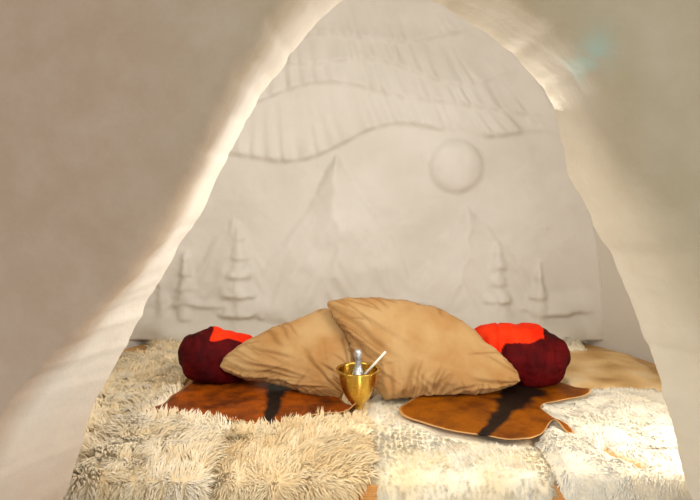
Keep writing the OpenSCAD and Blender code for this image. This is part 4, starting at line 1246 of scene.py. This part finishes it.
# A sleeping bag stuffed in its sack: a short fat roll, drawn in at both ends, that has settled flat
# below; lining says where the turned-back flap shows its scarlet side
def bag(name, node, at, d, length, turn, lining, seed):
    bm = grid(84, 44)
    uv = spots(bm)
    phi = uv[:, 0] * 2 * math.pi
    s = 2 * uv[:, 1] - 1
    r = d / 2 * np.clip(1 - np.abs(s) ** 3.2, 0, 1) ** 0.5
    gather = ease((np.abs(s) - 0.55) / 0.45)
    pleats = np.sin(17 * phi + 2 * s) + 0.6 * np.sin(29 * phi + 1.7 * seed)
    r = r * (1 + 0.035 * pleats * gather * np.where(np.abs(s) < 0.995, 1, 0))
    x = length / 2 * s * 0.97
    # the underside spreads out square where it lies, and the top stays round
    y = r * np.sign(np.cos(phi)) * np.abs(np.cos(phi)) ** np.where(np.sin(phi) < 0, 0.5, 0.9) * 1.06
    z = r * np.sin(phi)
    t = math.radians(turn)
    settled = d * 0.06
    p = np.stack([at[0] + x * math.cos(t) - y * math.sin(t), at[1] + x * math.sin(t) + y * math.cos(t),
        HIDE_Z + d / 2 - settled + z], axis=1)
    slump = np.where(np.abs(s) < 0.999, rough(p, seed, (0.024, 0.17), (0.012, 0.08)), 0)
    p = p + slump[:, None] * np.stack([0 * phi, np.cos(phi), np.sin(phi)], axis=1)
    p[:, 2] = np.maximum(p[:, 2], BEDDING_Z)
    place(bm, p)
    obj = sewn(name, bm, burgundy_cloth, "bag_cloth", node, 1.2, 0.012)
    q = coords(obj.data)
    local_x = (q[:, 0] - at[0]) * math.cos(t) + (q[:, 1] - at[1]) * math.sin(t)
    lines = np.stack([local_x, q[:, 1] * 0.25, q[:, 2] * 0.25], axis=1)
    height = 0.006 * lumps(lines, 0.035, seed + 2) + 0.004 * lumps(q, 0.05, seed + 3) \
        + 0.002 * lumps(q, 0.022, seed + 4) - 0.009 * ease(1 - 3.2 * np.abs(lumps(lines, 0.06, seed + 7)))
    wavy = np.stack([0.012 * lumps(q, 0.05, seed + 5), 0 * local_x, 0.008 * lumps(q, 0.06, seed + 6)],
        axis=1)
    flap = lining(*(q + wavy).T)
    push_out(obj, height + 0.004 * ease(flap / 0.006))
    paint(obj, "lining", ease(flap / 0.004))


def left_lining(x, y, z):
    # the flap's strip along the top, down to a line that falls to the right
    low = 0.728 - 0.16 * (x + 0.785)
    return np.minimum(np.minimum(z - low, x + 0.80), 0.285 + 0.35 * (x + 0.7) - y)


def right_lining(x, y, z):
    # the flap covers the left end, and a strip along the top
    corner = np.minimum(0.628 + 0.5 * (z - 0.65) - x, z - 0.56)
    strip = np.minimum(z - 0.722 - 0.10 * (x - 0.67), 0.865 - x)
    return np.maximum(corner, strip)


bag("sleeping_bag_left_stuffed", "sleeping_bag_left", (-0.765, 0.222), 0.252, 0.40, 20, left_lining, 501)
bag("sleeping_bag_right_stuffed", "sleeping_bag_right", (0.738, 0.222), 0.285, 0.55, -18, right_lining, 511)


# Spun and bevelled pieces of the bucket's set: each from its outline [radius, height], turned round z
def turned(outline, at, steps=72):
    bm = bmesh.new()
    spin_ring(bm, outline, steps, closed=outline[0][0] > 0)
    merge(bm, 1e-6)
    seal(bm)
    bmesh.ops.translate(bm, verts=bm.verts, vec=at)
    return bm


# Brass, spun on a lathe and hand polished: fine rings from the lathe, and a light brown tarnish
def brass():
    made, tree, shader = blank("spun_brass", Metallic=1.0, Roughness=0.3, Anisotropic=0.85,
        Anisotropic_Rotation=0.25)
    where = add(tree, "TexCoord").outputs["Object"]
    rings = add(tree, "Mapping", {"Vector": where, "Scale": (2.0, 2.0, 900.0)})
    lathe = add(tree, "TexNoise", {"Vector": rings, "Scale": 1.0, "Detail": 2.0})
    cloud = add(tree, "TexNoise", {"Vector": where, "Scale": 22.0, "Detail": 4.0})
    dull = add(tree, "MapRange", {0: cloud, 1: 0.4, 2: 0.75, 3: 0.0, 4: 0.4})
    body = add(tree, "Mix", {0: dull, 6: "D6B050", 7: "A88034"}, data_type="RGBA")
    polish = add(tree, "MapRange", {0: cloud, 1: 0.3, 2: 0.8, 3: 0.20, 4: 0.36})
    bump = add(tree, "Bump", {"Height": lathe, "Strength": 0.12, "Distance": 0.0004})
    feed(shader, {"Base Color": body, "Roughness": polish, "Normal": bump})
    return made


spun_brass = brass()
BUCKET_AT = (-0.0636, -0.199, HIDE_Z + 0.0003)
BUCKET_R, BUCKET_H, BUCKET_T, FOOT_R, FOOT_H = 0.090, 0.185, 0.002, 0.024, 0.008


def bucket_r(z):
    return BUCKET_R * (1 - (1 - z / BUCKET_H) ** 2) ** 0.75


def build_bucket():
    heights = [FOOT_H + (BUCKET_H - FOOT_H) * (i / 30) ** 1.25 for i in range(1, 31)]
    outer = [(max(bucket_r(z), FOOT_R), z) for z in heights]
    rim_z, bead_r = BUCKET_H, 0.0028
    bead_x = BUCKET_R + 0.008
    bead = [(bead_x + bead_r * math.cos(a), rim_z - bead_r + bead_r * math.sin(a))
        for a in (math.radians(d) for d in range(-110, 111, 20))]
    inner = [(max(r - BUCKET_T, 0.004), z + 0.0006) for r, z in outer if z > FOOT_H + 0.002][::-1]
    outline = [(0.0005, 0.0015), (FOOT_R - 0.003, 0.0015), (FOOT_R - 0.0015, 0.0), (FOOT_R, 0.001),
        (FOOT_R - 0.0015, FOOT_H - 0.002), (FOOT_R - 0.001, FOOT_H)] + outer[:-1] \
        + [(BUCKET_R - 0.0002, rim_z - 0.003), (BUCKET_R + 0.002, rim_z - 0.0025)] + bead \
        + [(BUCKET_R + 0.001, rim_z)] + inner + [(FOOT_R - 0.004, FOOT_H + 0.003), (0.0005, FOOT_H + 0.003)]
    piece("ice_bucket_brass", turned(outline, BUCKET_AT, 96), spun_brass, "bucket_brass", "ice_bucket")


build_bucket()


# Silver foil over a cork and neck: aluminium, crinkled by hand, above dark green glass
def foil():
    made, tree, shader = blank("crinkled_silver_foil", Metallic=0.85, Roughness=0.32)
    where = add(tree, "TexCoord").outputs["Object"]
    crinkle = add(tree, "TexVoronoi", {"Vector": where, "Scale": 190.0}, feature="DISTANCE_TO_EDGE")
    soft = add(tree, "TexNoise", {"Vector": where, "Scale": 90.0, "Detail": 3.0})
    glass = add(tree, "Attribute", attribute_name="glass").outputs["Fac"]
    shine = add(tree, "Mix", {0: soft, 6: "D9DBDE", 7: "A9ADB4"}, data_type="RGBA")
    body = add(tree, "Mix", {0: glass, 6: shine, 7: "1E2E14"}, data_type="RGBA")
    metal = add(tree, "MapRange", {0: glass, 1: 0.0, 2: 1.0, 3: 0.85, 4: 0.0})
    bump = add(tree, "Bump", {"Height": crinkle.outputs["Distance"], "Strength": 0.6, "Distance": 0.0015})
    fine = add(tree, "Bump", {"Height": soft, "Strength": 0.5, "Distance": 0.0015,
        "Normal": bump})
    feed(shader, {"Base Color": body, "Metallic": metal, "Normal": fine})
    return made


silver_foil = foil()
BOTTLE_R, BOTTLE_H, HEEL = 0.033, 0.250, 0.004
SEAT_Z = BUCKET_H * (1 - math.sqrt(1 - ((BOTTLE_R + BUCKET_T + 0.0006) / BUCKET_R) ** (4 / 3))) - HEEL


def build_bottle():
    neck = 0.014
    outline = [(0.0, 0.0), (BOTTLE_R - HEEL, 0.0), (BOTTLE_R - 0.001, 0.0015), (BOTTLE_R, HEEL),
        (BOTTLE_R, BOTTLE_H * 0.42)]
    for i in range(17):
        u = i / 16
        shoulder = neck + (BOTTLE_R - neck) * (1 + math.cos(math.pi * u)) / 2
        outline.append((shoulder, BOTTLE_H * (0.44 + 0.3 * u)))
    outline += [(neck, BOTTLE_H * 0.80), (0.0145, BOTTLE_H * 0.82), (0.0168, BOTTLE_H * 0.845),
        (0.0175, BOTTLE_H * 0.87), (0.0172, BOTTLE_H * 0.92), (0.0160, BOTTLE_H * 0.955),
        (0.0125, BOTTLE_H * 0.985), (0.0060, BOTTLE_H * 0.998), (0.0, BOTTLE_H)]
    at = Vector(BUCKET_AT) + Vector((0, 0, SEAT_Z))
    bm = turned(outline, at, 64)
    p = spots(bm)
    high = (p[:, 2] - at.z) / BOTTLE_H
    out = unit((p - [at.x, at.y, 0]) * [1, 1, 0])
    creased = 0.0011 * lumps(p * [1, 1, 0.4], 0.006, 601) * ease((high - 0.5) / 0.1) * (high < 0.99)
    place(bm, p + out * creased[:, None])
    bottle = piece("bottle_in_foil", bm, silver_foil, "bottle_foil", "bottle")
    q = coords(bottle.data)
    paint(bottle, "glass", ease((0.52 - (q[:, 2] - at.z) / BOTTLE_H) / 0.01))


build_bottle()


# Candle wax: white, poured, a little clear at its edges; the candle's waxed cotton wick is not made
def wax():
    made, tree, shader = blank("white_candle_wax", Roughness=0.4, Specular_IOR_Level=0.5,
        Subsurface_Weight=0.3, Subsurface_Radius=(1.0, 0.7, 0.5), Subsurface_Scale=0.004)
    where = add(tree, "TexCoord").outputs["Object"]
    bloom = add(tree, "TexNoise", {"Vector": where, "Scale": 60.0, "Detail": 3.0})
    body = add(tree, "Mix", {0: bloom, 6: "FBF8EE", 7: "EDE6D4"}, data_type="RGBA")
    bump = add(tree, "Bump", {"Height": bloom, "Strength": 0.2, "Distance": 0.0006})
    feed(shader, {"Base Color": body, "Normal": bump})
    return made


def build_candle():
    r, length = 0.0055, 0.240
    foot_up = BUCKET_H * 0.38
    behind = BOTTLE_R + r + 0.006
    reach = behind + r * 0.71
    foot_x = math.sqrt((bucket_r(foot_up) - BUCKET_T - 0.0003) ** 2 - reach ** 2) - r / 2
    rim_x = math.sqrt((BUCKET_R - BUCKET_T - 0.0003) ** 2 - reach ** 2) - r
    lean = math.atan2(foot_x + rim_x, BUCKET_H - foot_up)
    outline = [(0.0, 0.0), (r - 0.0008, 0.0), (r, 0.0008), (r, length * 0.5), (r * 0.97, length - 0.004),
        (r * 0.85, length - 0.0015), (r * 0.5, length - 0.0002), (0.0, length - 0.0006)]
    bm = turned(outline, (0, 0, 0), 32)
    bmesh.ops.rotate(bm, verts=bm.verts, cent=(0, 0, 0), matrix=Matrix.Rotation(lean, 3, "Y"))
    bmesh.ops.translate(bm, verts=bm.verts,
        vec=(BUCKET_AT[0] - foot_x, BUCKET_AT[1] + behind, BUCKET_AT[2] + foot_up))
    piece("candle_taper", bm, wax(), "candle_wax", "candle")


build_candle()


# Plain level light: a white world that the lens, gloss and glass see as white
world = bpy.data.worlds.new("studio")
bpy.context.scene.world = world
world.use_nodes = True
sky = world.node_tree
sky.nodes.clear()
path = add(sky, "LightPath")
seen = path.outputs["Is Camera Ray"]
for kind in ("Is Glossy Ray", "Is Transmission Ray"):
    seen = add(sky, "Math", {0: seen, 1: path.outputs[kind]}, operation="MAXIMUM")
plain = add(sky, "Background", {"Color": (1, 1, 1, 1), "Strength": 1.0})
lit = add(sky, "Background", {"Color": (1, 1, 1, 1), "Strength": 0.85})
both = add(sky, "MixShader", {0: seen, 1: lit, 2: plain})
add(sky, "OutputWorld", {"Surface": both})


def lamp(name, spot, target, size, watts, tint=(1, 1, 1)):
    light = bpy.data.lights.new(name, "AREA")
    light.shape = "DISK"
    light.size = size
    light.energy = watts
    light.color = tint
    obj = put(name, light)
    obj.location = spot
    obj.rotation_euler = (Vector(target) - Vector(spot)).to_track_quat("-Z", "Y").to_euler()
    obj.visible_camera = False


lamp("chamber_lamp", (0.55, -0.62, 2.05), (-0.7, 0.7, 1.3), 0.9, 15.5, (1.0, 0.98, 0.95))
lamp("fill_lamp", (-0.75, -0.75, 1.7), (-0.85, 0.7, 1.2), 0.6, 8.5, (1.0, 0.96, 0.90))
lamp("reveal_lamp", (0.45, -0.95, 1.75), (-0.55, -1.25, 2.1), 0.4, 2.3, (1.0, 0.97, 0.92))
lamp("door_lamp", (0.28, -1.55, 0.95), (0.3, -0.85, 0.38), 0.5, 1.5, (1.0, 0.93, 0.82))
lamp("low_lamp", (1.35, -0.75, 0.95), (0.5, -0.2, 0.5), 0.35, 8, (1.0, 0.91, 0.76))
lamp("front_lamp", (0.02, -1.5, 1.5), (-0.06, -0.2, 0.6), 0.3, 5.5, (1.0, 0.97, 0.91))
lamp("glint_lamp", (-0.03, -0.47, 0.585), (-0.055, -0.25, 0.60), 0.03, 0.10)

ground = grid(2, 2)
FLOOR_WIDE = 60
place(ground, (spots(ground) - [0.5, 0.5, 0]) * FLOOR_WIDE)
ground_mesh = bpy.data.meshes.new("floor")
ground.to_mesh(ground_mesh)
ground.free()
ground_mesh.materials.append(blank("pale_floor", Roughness=0.9, Base_Color="EDEDED")[0])
put("floor", ground_mesh)

bpy.context.scene.view_settings.view_transform = "Standard"
